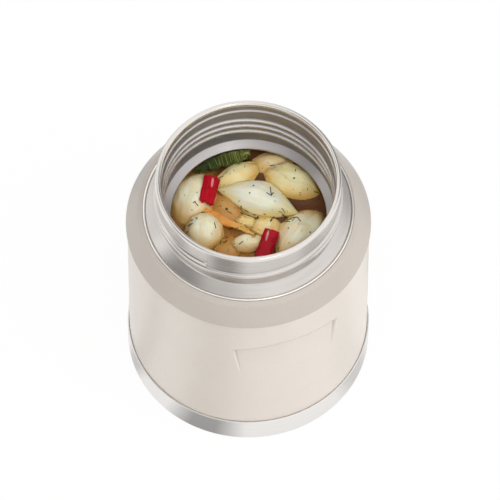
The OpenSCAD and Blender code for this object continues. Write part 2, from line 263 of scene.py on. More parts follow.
class Effects:
    """The effects that more than one finish uses, each built once."""

    def __init__(self) -> None:
        """Builds every group."""
        self.lines = self._turned_lines()
        self.grain = self._grain()
        self.clouds = self._clouds()
        self.strands = self._strands()
        self.wetness = self._wetness()

    @staticmethod
    def _turned_lines() -> bpy.types.NodeTree:
        """Fine lines that run round the jar, as a lathe or a brush leaves them."""
        band_density = 180.0
        outputs = {"Lines": "Float", "Bands": "Float"}
        tree = Effect("turned_lines", {"Place": "Vector", "Density": 2500.0}, outputs)
        x, y, z = tree.split(tree.given["Place"])
        radius = tree.math("SQRT", tree.math("ADD", tree.times(x, x), tree.times(y, y)))
        along = tree.math("ADD", radius, z)
        turn_x = tree.math("DIVIDE", x, radius)
        turn_y = tree.math("DIVIDE", y, radius)
        fine = tree.join(tree.times(along, tree.given["Density"]), turn_x, turn_y)
        wide = tree.join(tree.times(along, band_density), turn_x, turn_y)
        tree.put(tree.results["Lines"], tree.noise(fine, 1.0, 4.0, 0.7))
        tree.put(tree.results["Bands"], tree.noise(wide, 1.0, 3.0, 0.55))
        return tree.group

    @staticmethod
    def _grain() -> bpy.types.NodeTree:
        """The fine grain of a powder coat, with a slow waviness under it."""
        wave_density, wave_height, speck_density = 240.0, 0.8, 900.0
        outputs = {"Height": "Float", "Speck": "Float"}
        tree = Effect("coat_grain", {"Place": "Vector", "Density": 2600.0}, outputs)
        place = tree.given["Place"]
        grain = tree.noise(place, tree.given["Density"], 3.0, 0.6)
        wave = tree.noise(place, wave_density, 1.0)
        specks = tree.noise(place, speck_density, 4.0, 0.7)
        tree.put(tree.results["Height"], tree.math("ADD", grain, tree.times(wave, wave_height)))
        tree.put(tree.results["Speck"], tree.ramp(specks, 0.35, 0.65))
        return tree.group

    @staticmethod
    def _clouds() -> bpy.types.NodeTree:
        """A slow mix of two colours."""
        inputs = {"Place": "Vector", "Density": 90.0, "Base": "Color", "Patch": "Color", "Amount": 1.0}
        tree = Effect("clouds", inputs, {"Color": "Color"})
        value = tree.noise(tree.given["Place"], tree.given["Density"], 3.0, 0.55)
        factor = tree.times(tree.ramp(value, 0.35, 0.68), tree.given["Amount"])
        tree.put(tree.results["Color"], tree.mix(factor, tree.given["Base"], tree.given["Patch"]))
        return tree.group

    @staticmethod
    def _strands() -> bpy.types.NodeTree:
        """Fibres that run from tip to tip of a piece, read from its own skin attribute."""
        tree = Effect("strands", {"Count": 9.0, "Stretch": 2.0}, {"Fibres": "Float"})
        x, y, along = tree.split(tree.attribute("skin", "Vector"))
        count = tree.given["Count"]
        lengthwise = tree.times(along, tree.given["Stretch"])
        place = tree.join(tree.times(x, count), tree.times(y, count), lengthwise)
        tree.put(tree.results["Fibres"], tree.ramp(tree.noise(place, 1.0, 3.0, 0.6), 0.38, 0.62))
        return tree.group

    @staticmethod
    def _wetness() -> bpy.types.NodeTree:
        """Rises from 0 well above the broth to 1 at its surface."""
        tree = Effect("wetness", {"Place": "Vector", "Level": 0.09, "Reach": 0.004}, {"Wet": "Float"})
        ripple_density, ripple_height = 260.0, 0.002
        height = tree.split(tree.given["Place"])[2]
        ripple = tree.times(tree.noise(tree.given["Place"], ripple_density, 1.0), ripple_height)
        above = tree.math("SUBTRACT", tree.math("SUBTRACT", height, tree.given["Level"]), ripple)
        part = tree.math("DIVIDE", above, tree.given["Reach"])
        tree.put(tree.results["Wet"], tree.ramp(part, 0.0, 1.0, 1.0, 0.0))
        return tree.group


@dataclass(frozen=True)
class SteelFinish:
    """Stainless steel, turned or brushed round the axis, lighter where the mesh marks polish or painted
    highlight, and matt where it was blasted and not marked.
    """

    name: str
    tint: Colour
    roughness: float
    lines: float
    stretch: float = 0.0
    density: float = 2500.0
    bands: float = 0.15
    polished: Colour | None = None
    blasted: float = 1.0
    dark_part: float = 0.8
    streaks: float = 0.5
    gloss: float = 0.6

    def make(self, effects: Effects) -> bpy.types.Material:
        """Builds the material.

        Args:
            effects: The shared effects.

        Returns:
            The finished material.
        """
        recipe = Recipe(self.name, Metallic=1.0, Anisotropic=self.stretch, Anisotropic_Rotation=0.25)
        turned = recipe.effect(effects.lines, Place=recipe.here(), Density=self.density).outputs
        dark = tuple(self.dark_part * part for part in self.tint[:3]) + (1.0,)
        streak = recipe.ramp(turned["Lines"], 0.3, 0.7)
        colour = recipe.mix(recipe.times(streak, self.streaks), self.tint, dark)
        band = recipe.times(turned["Bands"], self.bands)
        rough = recipe.math("ADD", band, self.roughness - self.bands / 2)
        # The marked places get the lighter colour: polish on lips and beads, painted highlight on thread
        # crests.
        if self.polished:
            amount = recipe.attribute("polished")
            colour = recipe.mix(amount, colour, self.polished)
            rough = recipe.times(rough, recipe.ramp(amount, 0.5, 1.0, 1.0, self.gloss))
            if self.blasted < 1:
                recipe.set("Metallic", recipe.ramp(amount, 0.0, 0.5, self.blasted, 1.0))
        recipe.set("Base_Color", colour)
        recipe.set("Roughness", rough)
        recipe.bump(turned["Lines"], self.lines)
        if self.stretch:
            recipe.set("Tangent", recipe.add("Tangent", direction_type="RADIAL", axis="Z").outputs[0])
        return recipe.material


@dataclass(frozen=True)
class CoatFinish:
    """Satin powder coat on steel, with an optional painted shade that darkens it along marked creases."""

    name: str
    colour: Colour
    speck: Colour
    roughness: float = 0.42
    folds_and_painted_shade: Colour | None = None
    patches: float = 0.2
    specks: float = 0.22

    def make(self, effects: Effects) -> bpy.types.Material:
        """Builds the material.

        Args:
            effects: The shared effects.

        Returns:
            The finished material.
        """
        recipe = Recipe(self.name, Specular_IOR_Level=0.4, Coat_Weight=0.5, Coat_Roughness=0.28)
        place = recipe.here()
        grain = recipe.effect(effects.grain, Place=place).outputs
        tone = recipe.clouded(effects, place, 60.0, self.colour, self.speck, self.patches)
        painted = recipe.mix(recipe.times(grain["Speck"], self.specks), tone, self.speck)
        # Painted shade: darkens the coat along the recess's edges, where the mesh marks it.
        if self.folds_and_painted_shade:
            painted = recipe.mix(recipe.attribute("painted_crease_shade"), painted, self.folds_and_painted_shade)
        recipe.set("Base_Color", painted)
        recipe.roughen(grain["Speck"], self.roughness - 0.04, self.roughness + 0.05)
        recipe.bump(grain["Height"], 0.02, 0.5)
        return recipe.material


@dataclass(frozen=True)
class PlainFinish:
    """A technical material of a hidden piece, with a light mottling."""

    name: str
    colour: Colour
    patch: Colour
    metallic: float
    roughness: float

    def make(self, effects: Effects) -> bpy.types.Material:
        """Builds the material.

        Args:
            effects: The shared effects.

        Returns:
            The finished material.
        """
        recipe = Recipe(self.name, Metallic=self.metallic)
        place = recipe.here()
        recipe.set("Base_Color", recipe.clouded(effects, place, 400.0, self.colour, self.patch))
        grain = recipe.effect(effects.grain, Place=place, Density=1800.0).outputs
        recipe.roughen(grain["Speck"], self.roughness - 0.08, self.roughness + 0.08)
        recipe.bump(grain["Height"], 0.03)
        return recipe.material


@dataclass(frozen=True)
class FleshFinish:
    """Cooked vegetable: wet, with fibres along it, colour drawn up from the broth, painted shade on its
    sides and an optional painted highlight streak.
    """

    name: str
    colour: Colour
    vein: Colour
    # Colour near the broth, a broth stain, which also serves as painted shade on the sides.
    soaked_and_shade: Colour
    level: float
    reach: float = 5.0
    depth: float = 0.0
    count: float = 8.0
    vein_amount: float = 0.5
    roughness: float = 0.24
    coat: float = 0.5
    relief: float = 0.12
    specular: float = 0.35
    inside: str = ""
    inside_colour: Colour = (1.0, 1.0, 1.0, 1.0)
    # Colour of a painted highlight streak along the skin, where the mesh marks it.
    painted_highlight_colour: Colour | None = None
    # How far surfaces that face sideways turn to the broth-stain colour: painted shade that leaves the tops
    # lighter.
    painted_side_shade: float = 0.0
    patches: float = 0.3

    def make(self, effects: Effects) -> bpy.types.Material:
        """Builds the material.

        Args:
            effects: The shared effects.

        Returns:
            The finished material.
        """
        recipe = Recipe(
            self.name,
            Subsurface_Weight=1.0 if self.depth else 0.0,
            Subsurface_Scale=max(self.depth, 0.1) * MM,
            Subsurface_Radius=(1.0, 0.8, 0.55),
            Coat_Weight=self.coat,
            Coat_Roughness=0.1,
            Specular_IOR_Level=self.specular,
        )
        place = recipe.here()
        fibres = recipe.effect(effects.strands, Count=self.count).outputs["Fibres"]
        heights = {"Level": self.level * MM, "Reach": self.reach * MM}
        wet = recipe.effect(effects.wetness, Place=place, **heights).outputs["Wet"]
        flesh = recipe.mix(recipe.times(fibres, self.vein_amount), self.colour, self.vein)
        if self.inside:
            fibrous = recipe.ramp(fibres, 0.0, 1.0, 0.35, 1.0)
            amount = recipe.times(recipe.attribute(self.inside), fibrous)
            flesh = recipe.mix(amount, flesh, self.inside_colour)
        # Painted highlight: a pale streak that stands in for a wet glint on the skin.
        if self.painted_highlight_colour:
            flesh = recipe.mix(recipe.attribute("streak"), flesh, self.painted_highlight_colour)
        cloudy = recipe.clouded(effects, place, 150.0, flesh, self.soaked_and_shade, self.patches)
        # Painted shade: sideways-facing surfaces take more of the broth-stain colour than the tops.
        if self.painted_side_shade:
            upright = recipe.split(recipe.add("TexCoord").outputs["Normal"])[2]
            cloudy = recipe.mix(recipe.ramp(upright, 0.15, 0.85, self.painted_side_shade, 0.0), cloudy, self.soaked_and_shade)
        recipe.set("Base_Color", recipe.mix(wet, cloudy, self.soaked_and_shade))
        recipe.roughen(fibres, self.roughness, self.roughness + 0.12)
        recipe.bump(fibres, self.relief)
        return recipe.material


@dataclass(frozen=True)
class OnionFinish(FleshFinish):
    """Skin of a cooked onion, finely fibred and glossy."""

    count: float = 11.0
    vein_amount: float = 0.6
    coat: float = 0.8
    relief: float = 0.06


@dataclass(frozen=True)
class BrothFinish:
    """Cloudy amber broth with darker spots, fine herb dust and painted shade that darkens it towards +X."""

    name: str = "broth"
    colour: Colour = shade(172, 122, 58)
    dark_patch_and_shade: Colour = shade(92, 56, 40)
    dust: Colour = shade(58, 40, 20)
    patches: float = 0.8
    dusting: float = 0.7

    def make(self, effects: Effects) -> bpy.types.Material:
        """Builds the material.

        Args:
            effects: The shared effects.

        Returns:
            The finished material.
        """
        recipe = Recipe(self.name, Roughness=0.08, Specular_IOR_Level=0.3, IOR=1.34)
        place = recipe.here()
        cloudy = recipe.clouded(effects, place, 120.0, self.colour, self.dark_patch_and_shade, self.patches)
        # Painted shade: the broth turns darker towards +X.
        across = recipe.split(place)[0]
        tone = recipe.mix(recipe.ramp(across, -2 * MM, 10 * MM, 0.0, 0.85), cloudy, self.dark_patch_and_shade)
        speck = recipe.effect(effects.grain, Place=place, Density=2000.0).outputs["Speck"]
        dusty = recipe.times(recipe.ramp(speck, 0.75, 1.0), self.dusting)
        recipe.set("Base_Color", recipe.mix(dusty, tone, self.dust))
        recipe.bump(recipe.effect(effects.grain, Place=place, Density=320.0).outputs["Height"], 0.05)
        return recipe.material


# ---- shaping -------------------------------------------------------------------------------------


@dataclass(frozen=True)
class Corner:
    """A corner of a profile: radius and height, and how far along both edges its rounding reaches."""

    r: float
    z: float
    soft: float = 0.0


@dataclass(frozen=True)
class Run:
    """A straight stretch of a profile, at one radius, that gets rows for relief."""

    r: float
    low: float
    high: float
    rows: int


# How far a sheet's back rounds more than its face round the outside of a bend, as a share of the
# sheet's thickness, and the least rounding inside a bend, in millimetres.
OUTER_SPREAD = 0.6
LEAST_SOFT = 0.03


def walled(face: Sequence[Corner], thickness: float) -> list[Corner]:
    """Draws the back of a sheet behind its face, on the left of the way that the face is drawn.

    Args:
        face: The face's corners, in order.
        thickness: Thickness of the sheet in millimetres.

    Returns:
        The outline of the whole sheet: the face, then the back in the other direction.
    """
    places = [Vector((corner.r, corner.z)) for corner in face]
    stretches = [(end - start).normalized() for start, end in zip(places, places[1:])]
    behind = []
    for number, corner in enumerate(face):
        runs = stretches[max(number - 1, 0) : number + 1]
        sides = [Vector((-run.y, run.x)) for run in runs]
        mitre = sides[0] if len(sides) == 1 else (sides[0] + sides[1]) / (1 + sides[0].dot(sides[1]))
        soft = corner.soft
        if soft and len(runs) == 2:
            outside = runs[0].cross(runs[1]) < 0
            soft = soft + thickness * OUTER_SPREAD if outside else max(soft - thickness, LEAST_SOFT)
        r = corner.r + mitre.x * thickness if corner.r else 0.0
        behind.append(Corner(r, corner.z + mitre.y * thickness, soft))
    return [*face, *reversed(behind)]


def outwards(bm: bmesh.types.BMesh) -> None:
    """Turns the faces of a closed shape outwards."""
    bmesh.ops.recalc_face_normals(bm, faces=bm.faces)
    if bm.calc_volume(signed=True) < 0:
        bmesh.ops.reverse_faces(bm, faces=bm.faces)


class Turned:
    """A profile turned round the jar's axis, in the making."""

    def __init__(
        self,
        corners: Sequence[Corner],
        steps: int,
        closed: bool = False,
        runs: Sequence[Run] = (),
        bends: int = 5,
    ) -> None:
        """Draws the profile and spins it.

        Args:
            corners: The profile's corners, in order.
            steps: Number of faces round the axis.
            closed: Whether the last corner joins the first.
            runs: Straight stretches that get rows.
            bends: Number of faces across a rounding.
        """
        self.bm = bmesh.new()
        verts = [self.bm.verts.new((c.r * MM, 0, c.z * MM)) for c in corners]
        for first, second in zip(verts, verts[1:] + verts[:1] if closed else verts[1:]):
            if first.co.x or second.co.x:
                self.bm.edges.new((first, second))
        for vert, corner in zip(verts, corners):
            if corner.soft:
                bmesh.ops.bevel(
                    self.bm,
                    geom=[vert],
                    offset=corner.soft * MM,
                    segments=bends,
                    affect="VERTICES",
                    profile=0.5,
                    material=-1,
                )
        for run in runs:
            edges = [e for e in self.bm.edges if self._on(run, e)]
            bmesh.ops.subdivide_edges(self.bm, edges=edges, cuts=run.rows)
        bmesh.ops.spin(
            self.bm,
            geom=self.bm.verts[:] + self.bm.edges[:],
            cent=(0, 0, 0),
            axis=(0, 0, 1),
            angle=math.tau,
            steps=steps,
            use_merge=True,
        )
        bmesh.ops.remove_doubles(self.bm, verts=self.bm.verts, dist=MERGE)
        outwards(self.bm)

    @staticmethod
    def _on(run: Run, edge: bmesh.types.BMEdge) -> bool:
        """Whether an edge of the profile is part of a run."""
        return edge.calc_length() > NEAR * MM and all(
            abs(v.co.x / MM - run.r) < NEAR and run.low - NEAR < v.co.z / MM < run.high + NEAR
            for v in edge.verts
        )

    def relief(self, depth: Callable[[float, float, float], float]) -> None:
        """Moves each vertex outwards from the axis.

        Args:
            depth: Gives the move in millimetres for a radius, an angle in degrees and a height.
        """
        for vert in self.bm.verts:
            radius = vert.co.xy.length
            if radius < MERGE:
                continue
            move = depth(radius / MM, angle_of(vert.co), vert.co.z / MM)
            if move:
                vert.co.xy *= 1 + move * MM / radius

    def mark(self, name: str, amount: Callable[[float, float, float], float]) -> None:
        """Stores a number from 0 to 1 on each vertex, for its finish.

        Args:
            name: The attribute's name.
            amount: Gives the number for a radius in millimetres, an angle in degrees and a height.
        """
        layer = self.bm.verts.layers.float.new(name)
        for vert in self.bm.verts:
            vert[layer] = amount(vert.co.xy.length / MM, angle_of(vert.co), vert.co.z / MM)

    def thicken(self, thickness: float) -> None:
        """Gives the sheet its thickness, behind its face."""
        bmesh.ops.solidify(self.bm, geom=self.bm.faces[:], thickness=thickness * MM)


def piece(
    bm: bmesh.types.BMesh, name: str, material: bpy.types.Material, slot: str, *replaced: str
) -> bpy.types.Object:
    """Makes a finished bmesh an object of the jar.

    Args:
        bm: The shape, in the jar's frame. It is freed.
        name: The new object's name.
        material: Its finish.
        slot: The record's material slot; not used.
        replaced: The CAD nodes it stands for.

    Returns:
        The new object.
    """
    mesh = bpy.data.meshes.new(name)
    bm.to_mesh(mesh)
    bm.free()
    mesh.materials.append(material)
    mesh.polygons.foreach_set("use_smooth", [True] * len(mesh.polygons))
    item = bpy.data.objects.new(name, mesh)
    bpy.context.scene.collection.objects.link(item)
    mesh.set_sharp_from_angle(angle=SHARP)
    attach(item, BODY)
    if replaced:
        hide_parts(*replaced)
    return item


@dataclass(frozen=True)
class Thread:
    """Rounded screw ridges that climb with the angle, one start after the other."""

    starts: int
    lead: float
    anchor_angle: float
    anchor_z: float
    first_angle: float
    last_angle: float
    height: float
    half_width: float
    run_in: float
    run_out: float
    crest: float

    def ridge(self, angle: float, z: float) -> float:
        """Height of the ridge above the wall.

        Args:
            angle: Angle round the axis, in degrees.
            z: Height, in millimetres.

        Returns:
            The ridge's height in millimetres, 0 between ridges.
        """
        best = 0.0
        for start in range(self.starts):
            shift = 360.0 * start / self.starts
            low, high = self.first_angle + shift, self.last_angle + shift
            turn = angle + 360.0 * math.ceil((low - self.run_in - angle) / 360.0)
            while turn < high + self.run_out:
                middle = self.anchor_z + self.lead * (turn - self.anchor_angle - shift) / 360.0
                off = abs(z - middle) / self.half_width
                if off < 1:
                    start_part = smooth(low - self.run_in, low, turn)
                    ends = start_part * (1 - smooth(high, high + self.run_out, turn))
                    side = smooth(0.0, 1 - self.crest, 1 - off) if self.crest < 1 else 1.0
                    best = max(best, self.height * ends * side)
                turn += 360.0
        return best


# ---- steel jar -----------------------------------------------------------------------------------


@dataclass
class InnerVessel:
    """The inner vessel with its rolled lip, gasket chamfer, threaded bore, ledge, throat and chamber."""

    finish: SteelFinish = SteelFinish(
        "steel_inner",
        shade(166, 163, 168),
        roughness=0.37,
        lines=0.012,
        stretch=0.7,
        polished=shade(232, 227, 221),
        blasted=0.88,
    )
    lip_r: float = 36.6
    lip_top: float = 126.0
    lip_round: float = 1.25
    foot_z: float = 124.0
    gasket_r: float = 35.9
    gasket_z: float = 121.1
    bore_r: float = 35.2
    bore_top: float = 120.5
    ledge_z: float = 98.65
    throat_r: float = 31.75
    throat_top: float = 97.0
    throat_z: float = 96.1
    chamber_r: float = 43.5
    chamber_top: float = 88.6
    floor_z: float = 10.0
    sheet: float = 0.5
    steps: int = 256
    rows: int = 96
    thread: Thread = Thread(
        starts=2,
        lead=8.4,
        anchor_angle=70.0,
        anchor_z=114.3,
        first_angle=-350.0,
        last_angle=165.0,
        height=1.0,
        half_width=1.45,
        run_in=22.0,
        run_out=22.0,
        crest=0.08,
    )
    crest_polish_and_highlight: float = 0.95
    seat_polish: float = 0.6
    ledge_polish: float = 0.5

    def build(self, effects: Effects) -> bpy.types.Object:
        """Builds the vessel.

        Args:
            effects: The shared effects.

        Returns:
            The vessel, which stands for the CAD one.
        """
        inner, outer = self.lip_r - self.lip_round, self.lip_r + self.lip_round
        face = [
            Corner(outer - 0.25, self.foot_z),
            Corner(outer, self.foot_z + 0.55, 0.2),
            Corner(outer, self.lip_top, self.lip_round - 0.01),
            Corner(inner, self.lip_top, self.lip_round - 0.01),
            Corner(inner, self.foot_z + 0.45, 0.2),
            Corner(self.gasket_r, self.foot_z - 0.2, 0.2),
            Corner(self.gasket_r, self.gasket_z, 0.22),
            Corner(self.bore_r, self.bore_top, 0.3),
            Corner(self.bore_r, self.ledge_z, 0.35),
            Corner(self.throat_r, self.throat_top, 0.3),
            Corner(self.throat_r, self.throat_z, 0.3),
            Corner(self.chamber_r, self.chamber_top, 4.4),
            Corner(self.chamber_r, self.floor_z, 7.0),
            Corner(0.0, self.floor_z),
        ]
        sheet = Turned(
            walled(face, self.sheet),
            self.steps,
            closed=True,
            runs=[Run(self.bore_r, self.ledge_z, self.bore_top, self.rows)],
            bends=7,
        )
        sheet.mark("polished", self._polished)
        sheet.relief(self._threaded)
        return piece(sheet.bm, "threaded_vessel", self.finish.make(effects), "steel_inner", "inner_vessel")

    def _threaded(self, r: float, angle: float, z: float) -> float:
        """How far the thread moves a place of the bore outwards, so 0 or less."""
        return -self.thread.ridge(angle, z) if abs(r - self.bore_r) < NEAR else 0.0

    def _polished(self, r: float, angle: float, z: float) -> float:
        """How much lighter colour the steel gets: most on the lip, less on the seat and ledge, and on the
        thread's crests a painted highlight.
        """
        if z > self.bore_top - 0.1:
            lip = smooth(self.foot_z - 0.4, self.foot_z + 0.8, z)
            seat = 1 - smooth(0.3, 0.6, abs(z - self.gasket_z + 0.3))
            return max(lip, self.seat_polish * seat)
        if z < self.ledge_z + 0.3:
            return self.ledge_polish
        # Painted highlight: the crests get the lighter colour, standing in for the light they catch, and
        # the grooves stay darker.
        return self.crest_polish_and_highlight * smooth(0.1, 0.75, self.thread.ridge(angle, z) / self.thread.height)


@dataclass
class OuterNeck:
    """The bare neck and cone, with the bead of bright polish round it and the skirt hidden under the ring.
    """

    finish: SteelFinish = SteelFinish(
        "steel_neck",
        shade(216, 211, 206),
        roughness=0.25,
        lines=0.012,
        stretch=0.75,
        polished=shade(255, 251, 247),
    )
    skirt: tuple[tuple[float, float], ...] = ((45.78, 98.15), (44.46, 100.56), (42.55, 101.9))
    bead_r: float = 42.48
    bead_half: float = 0.46
    bead_top: float = 103.04
    cone_r: float = 41.72
    cone_z: float = 102.8
    foot_r: float = 37.1
    foot_z: float = 105.9
    root_z: float = 109.7
    root_step: float = 0.7
    neck_r: float = 37.45
    top_z: float = 124.0
    sheet: float = 0.6
    steps: int = 360
    rows: int = 88
    thread: Thread = Thread(
        starts=3,
        lead=10.5,
        anchor_angle=-137.0,
        anchor_z=115.9,
        first_angle=-300.0,
        last_angle=-137.0,
        height=0.9,
        half_width=1.65,
        run_in=18.0,
        run_out=1.0,
        crest=0.45,
    )
    crest_polish_and_highlight: float = 0.4

    def build(self, effects: Effects) -> bpy.types.Object:
        """Builds the neck.

        Args:
            effects: The shared effects.

        Returns:
            The neck, which stands for the CAD one.
        """
        outer, inner = self.bead_r + self.bead_half, self.bead_r - self.bead_half
        face = [
            *(Corner(r, z) for r, z in self.skirt),
            Corner(outer, self.bead_top - 0.6, 0.1),
            Corner(outer, self.bead_top, self.bead_half - 0.02),
            Corner(inner, self.bead_top, self.bead_half - 0.02),
            Corner(inner, self.bead_top - 0.72, 0.05),
            Corner(self.cone_r, self.cone_z, 0.1),
            Corner(self.foot_r, self.foot_z, 0.55),
            Corner(self.foot_r, self.root_z, 0.3),
            Corner(self.neck_r, self.root_z + self.root_step, 0.3),
            Corner(self.neck_r, self.top_z),
        ]
        back = [
            Corner(self.neck_r - self.sheet, self.top_z),
            Corner(self.neck_r - self.sheet, self.root_z + 0.9, 0.3),
            Corner(self.foot_r - self.sheet, self.root_z + 0.2, 0.3),
            Corner(self.foot_r - self.sheet, self.foot_z - 0.35, 0.55),
            Corner(self.cone_r - 0.35, self.cone_z - 0.5, 0.3),
            Corner(self.skirt[2][0] - 0.5, self.skirt[2][1] - 0.42, 0.2),
            Corner(self.skirt[1][0] - 0.52, self.skirt[1][1] - 0.3),
            Corner(self.skirt[0][0] - 0.52, self.skirt[0][1] - 0.3),
        ]
        sheet = Turned(
            face + back,
            self.steps,
            closed=True,
            runs=[Run(self.neck_r, self.root_z + self.root_step, self.top_z, self.rows)],
        )
        sheet.mark("polished", self._polished)
        sheet.relief(self._threaded)
        return piece(sheet.bm, "threaded_neck", self.finish.make(effects), "steel_neck", "outer_neck")

    def _threaded(self, r: float, angle: float, z: float) -> float:
        """How far the thread moves a place of the neck outwards."""
        return self.thread.ridge(angle, z) if abs(r - self.neck_r) < NEAR else 0.0

    def _polished(self, r: float, angle: float, z: float) -> float:
        """Marks the bead round the cone, and lightly the crests of the thread with painted highlight."""
        if abs(r - self.bead_r) < self.bead_half + NEAR and z > self.bead_top - 0.5:
            return 1.0
        if abs(r - self.neck_r) > NEAR:
            return 0.0
        # Painted highlight on the thread's crests.
        return self.crest_polish_and_highlight * smooth(0.5, 0.95, self.thread.ridge(angle, z) / self.thread.height)


@dataclass
class ShoulderRing:
    """The painted ring over the weld between the wall and the neck."""

    finish: CoatFinish = CoatFinish("paint_ring", shade(192, 183, 174), shade(180, 170, 160))
    outline: tuple[Corner, ...] = (
        Corner(50.0, 92.45, 0.3),
        Corner(45.2, 101.2, 0.45),
        Corner(43.2, 102.66, 0.3),
        Corner(42.62, 101.97, 0.1),
        Corner(44.507, 100.592, 0.3),
        Corner(49.211, 92.017, 0.2),
    )
    steps: int = 256

    def build(self, effects: Effects) -> bpy.types.Object:
        """Builds the ring.

        Args:
            effects: The shared effects.

        Returns:
            The ring, which stands for the CAD one.
        """
        ring = Turned(self.outline, self.steps, closed=True, bends=6)
        return piece(ring.bm, "painted_ring", self.finish.make(effects), "paint_ring", "shoulder_ring")


@dataclass
class BodyWall:
    """The painted wall with the pressed recess, and painted shade along the recess's upper edge and sides.
    """

    finish: CoatFinish = CoatFinish(
        "paint_body", shade(224, 215, 205), shade(212, 201, 189), folds_and_painted_shade=shade(150, 140, 130)
    )
    wall_r: float = 49.25
    foot_z: float = 3.4
    seat_z: float = 91.95
    weld_r: float = 45.824
    weld_z: float = 98.192
    recess_top: float = 75.8
    recess_corner: float = 72.3
    recess_low: float = 53.0
    recess_half: float = 22.7
    recess_low_half: float = 20.1
    recess_depth: float = 1.4
    recess_wall: float = 0.85
    recess_brow: float = 0.5
    # Half-width of the painted shade line along the recess's edges, the share of it that is full, and its
    # strength at the foot of the sides.
    painted_crease_shade: float = 0.32
    crease_shade_core: float = 0.3
    foot_shade: float = 0.8
    sheet: float = 0.6
    steps: int = 192
    rows: int = 54
    margin: float = 2.0
    fine: int = 6

    def depth(self, x: float, z: float) -> float:
        """Depth of the recess below the wall.

        Args:
            x: Distance from the middle of the front, along the wall's chord.
            z: Height.

        Returns:
            The depth in millimetres.
        """
        rise, side, top = self._within(x, z)
        if rise <= 0:
            return 0.0
        beside, below = smooth(0.0, self.recess_wall, side), smooth(0.0, self.recess_brow, top)
        return self.recess_depth * rise * beside * below

    def painted_shade_at(self, x: float, z: float) -> float:
        """How much painted shade a place gets along the recess's upper edge and sides, from 0 to 1,
        standing in for the shadow under the edge.
        """
        rise, side, top = self._within(x, z)
        if rise <= 0 or side < 0 or top < -self.painted_crease_shade:
            return 0.0
        core = self.crease_shade_core * self.painted_crease_shade
        brow = 1 - smooth(core, self.painted_crease_shade, abs(top))
        foot = 1 - smooth(core, self.painted_crease_shade, abs(side - self.recess_wall))
        return max(brow, self.foot_shade * min(rise, 1.0) * foot if top > 0 else 0.0)

    def _pressed(self, r: float, angle: float, z: float) -> float:
        """How far a place moves outwards where the recess is pressed in, so 0 or less."""
        return -self.depth(r * math.cos(math.radians(angle)), z) if angle < 0 else 0.0

    def _within(self, x: float, z: float) -> tuple[float, float, float]:
        """A place's share of the recess's height, and its distances inside the side and the upper edge."""
        rise = (z - self.recess_low) / (self.recess_corner - self.recess_low)
        side = self.recess_low_half + (self.recess_half - self.recess_low_half) * rise - abs(x)
        arch = self.recess_top - self.recess_corner
        bow_r = (self.recess_half**2 + arch**2) / (2 * arch)
        return rise, side, bow_r - math.hypot(x, z - (self.recess_top - bow_r))

    def build(self, effects: Effects) -> bpy.types.Object:
        """Builds the wall.

        Args:
            effects: The shared effects.

        Returns:
            The wall, which stands for the CAD one.
        """
        face = [
            Corner(self.wall_r, self.foot_z),
            Corner(self.wall_r, self.seat_z),
            Corner(self.weld_r, self.weld_z),
        ]
        wall = Turned(face, self.steps, runs=[Run(self.wall_r, self.foot_z, self.seat_z, self.rows)])
        near = [
            edge
            for edge in wall.bm.edges
            if all(
                v.co.y < 0
                and abs(v.co.x / MM) < self.recess_half + self.margin
                and self.recess_low - self.margin < v.co.z / MM < self.recess_top + self.margin
                for v in edge.verts
            )
        ]
        bmesh.ops.subdivide_edges(wall.bm, edges=near, cuts=self.fine, use_grid_fill=True)
        for vert in wall.bm.verts:
            if vert.co.z / MM < self.seat_z:
                vert.co.xy *= self.wall_r * MM / vert.co.xy.length
        # Painted shade along the recess's edges, for the coat.
        shaded = wall.bm.verts.layers.float.new("painted_crease_shade")
        for vert in wall.bm.verts:
            if vert.co.y < 0:
                vert[shaded] = self.painted_shade_at(vert.co.x / MM, vert.co.z / MM)
        wall.relief(self._pressed)
        bmesh.ops.recalc_face_normals(wall.bm, faces=wall.bm.faces)
        if sum(f.normal.xy.dot(f.calc_center_median().xy) for f in wall.bm.faces) < 0:
            bmesh.ops.reverse_faces(wall.bm, faces=wall.bm.faces)
        wall.thicken(self.sheet)
        return piece(wall.bm, "painted_wall", self.finish.make(effects), "paint_body", "body_shell")


@dataclass
class BaseCup:
    """The brushed base cup with its foot ring and stamped dish."""

    finish: SteelFinish = SteelFinish(
        "steel_base", shade(243, 240, 237), roughness=0.3, lines=0.02, stretch=0.7, density=3200.0
    )
    cup_r: float = 50.0
    cup_z: float = 13.3
    foot_r: float = 39.0
    dish_r: float = 36.6
    dish_z: float = 2.4
    bend: float = 1.3
    sheet: float = 0.6
    steps: int = 256

    def build(self, effects: Effects) -> bpy.types.Object:
        """Builds the cup.

        Args:
            effects: The shared effects.

        Returns:
            The cup, which stands for the CAD one.
        """
        face = [
            Corner(0.0, self.dish_z),
            Corner(self.dish_r, self.dish_z, self.bend),
            Corner(self.foot_r, 0.0, self.bend),
            Corner(self.cup_r, 0.0, self.bend),
            Corner(self.cup_r, self.cup_z, 0.34),
        ]
        back = [
            Corner(self.cup_r - self.sheet, self.cup_z, 0.12),
            Corner(self.cup_r - self.sheet, self.sheet, self.bend - 0.5),
            Corner(self.foot_r + 0.1, self.sheet, self.bend),
            Corner(self.dish_r + 0.2, self.dish_z + self.sheet, self.bend),
            Corner(0.0, self.dish_z + self.sheet),
        ]
        cup = Turned(face + back, self.steps, closed=True)
        return piece(cup.bm, "brushed_cup", self.finish.make(effects), "steel_base", "base_cup")


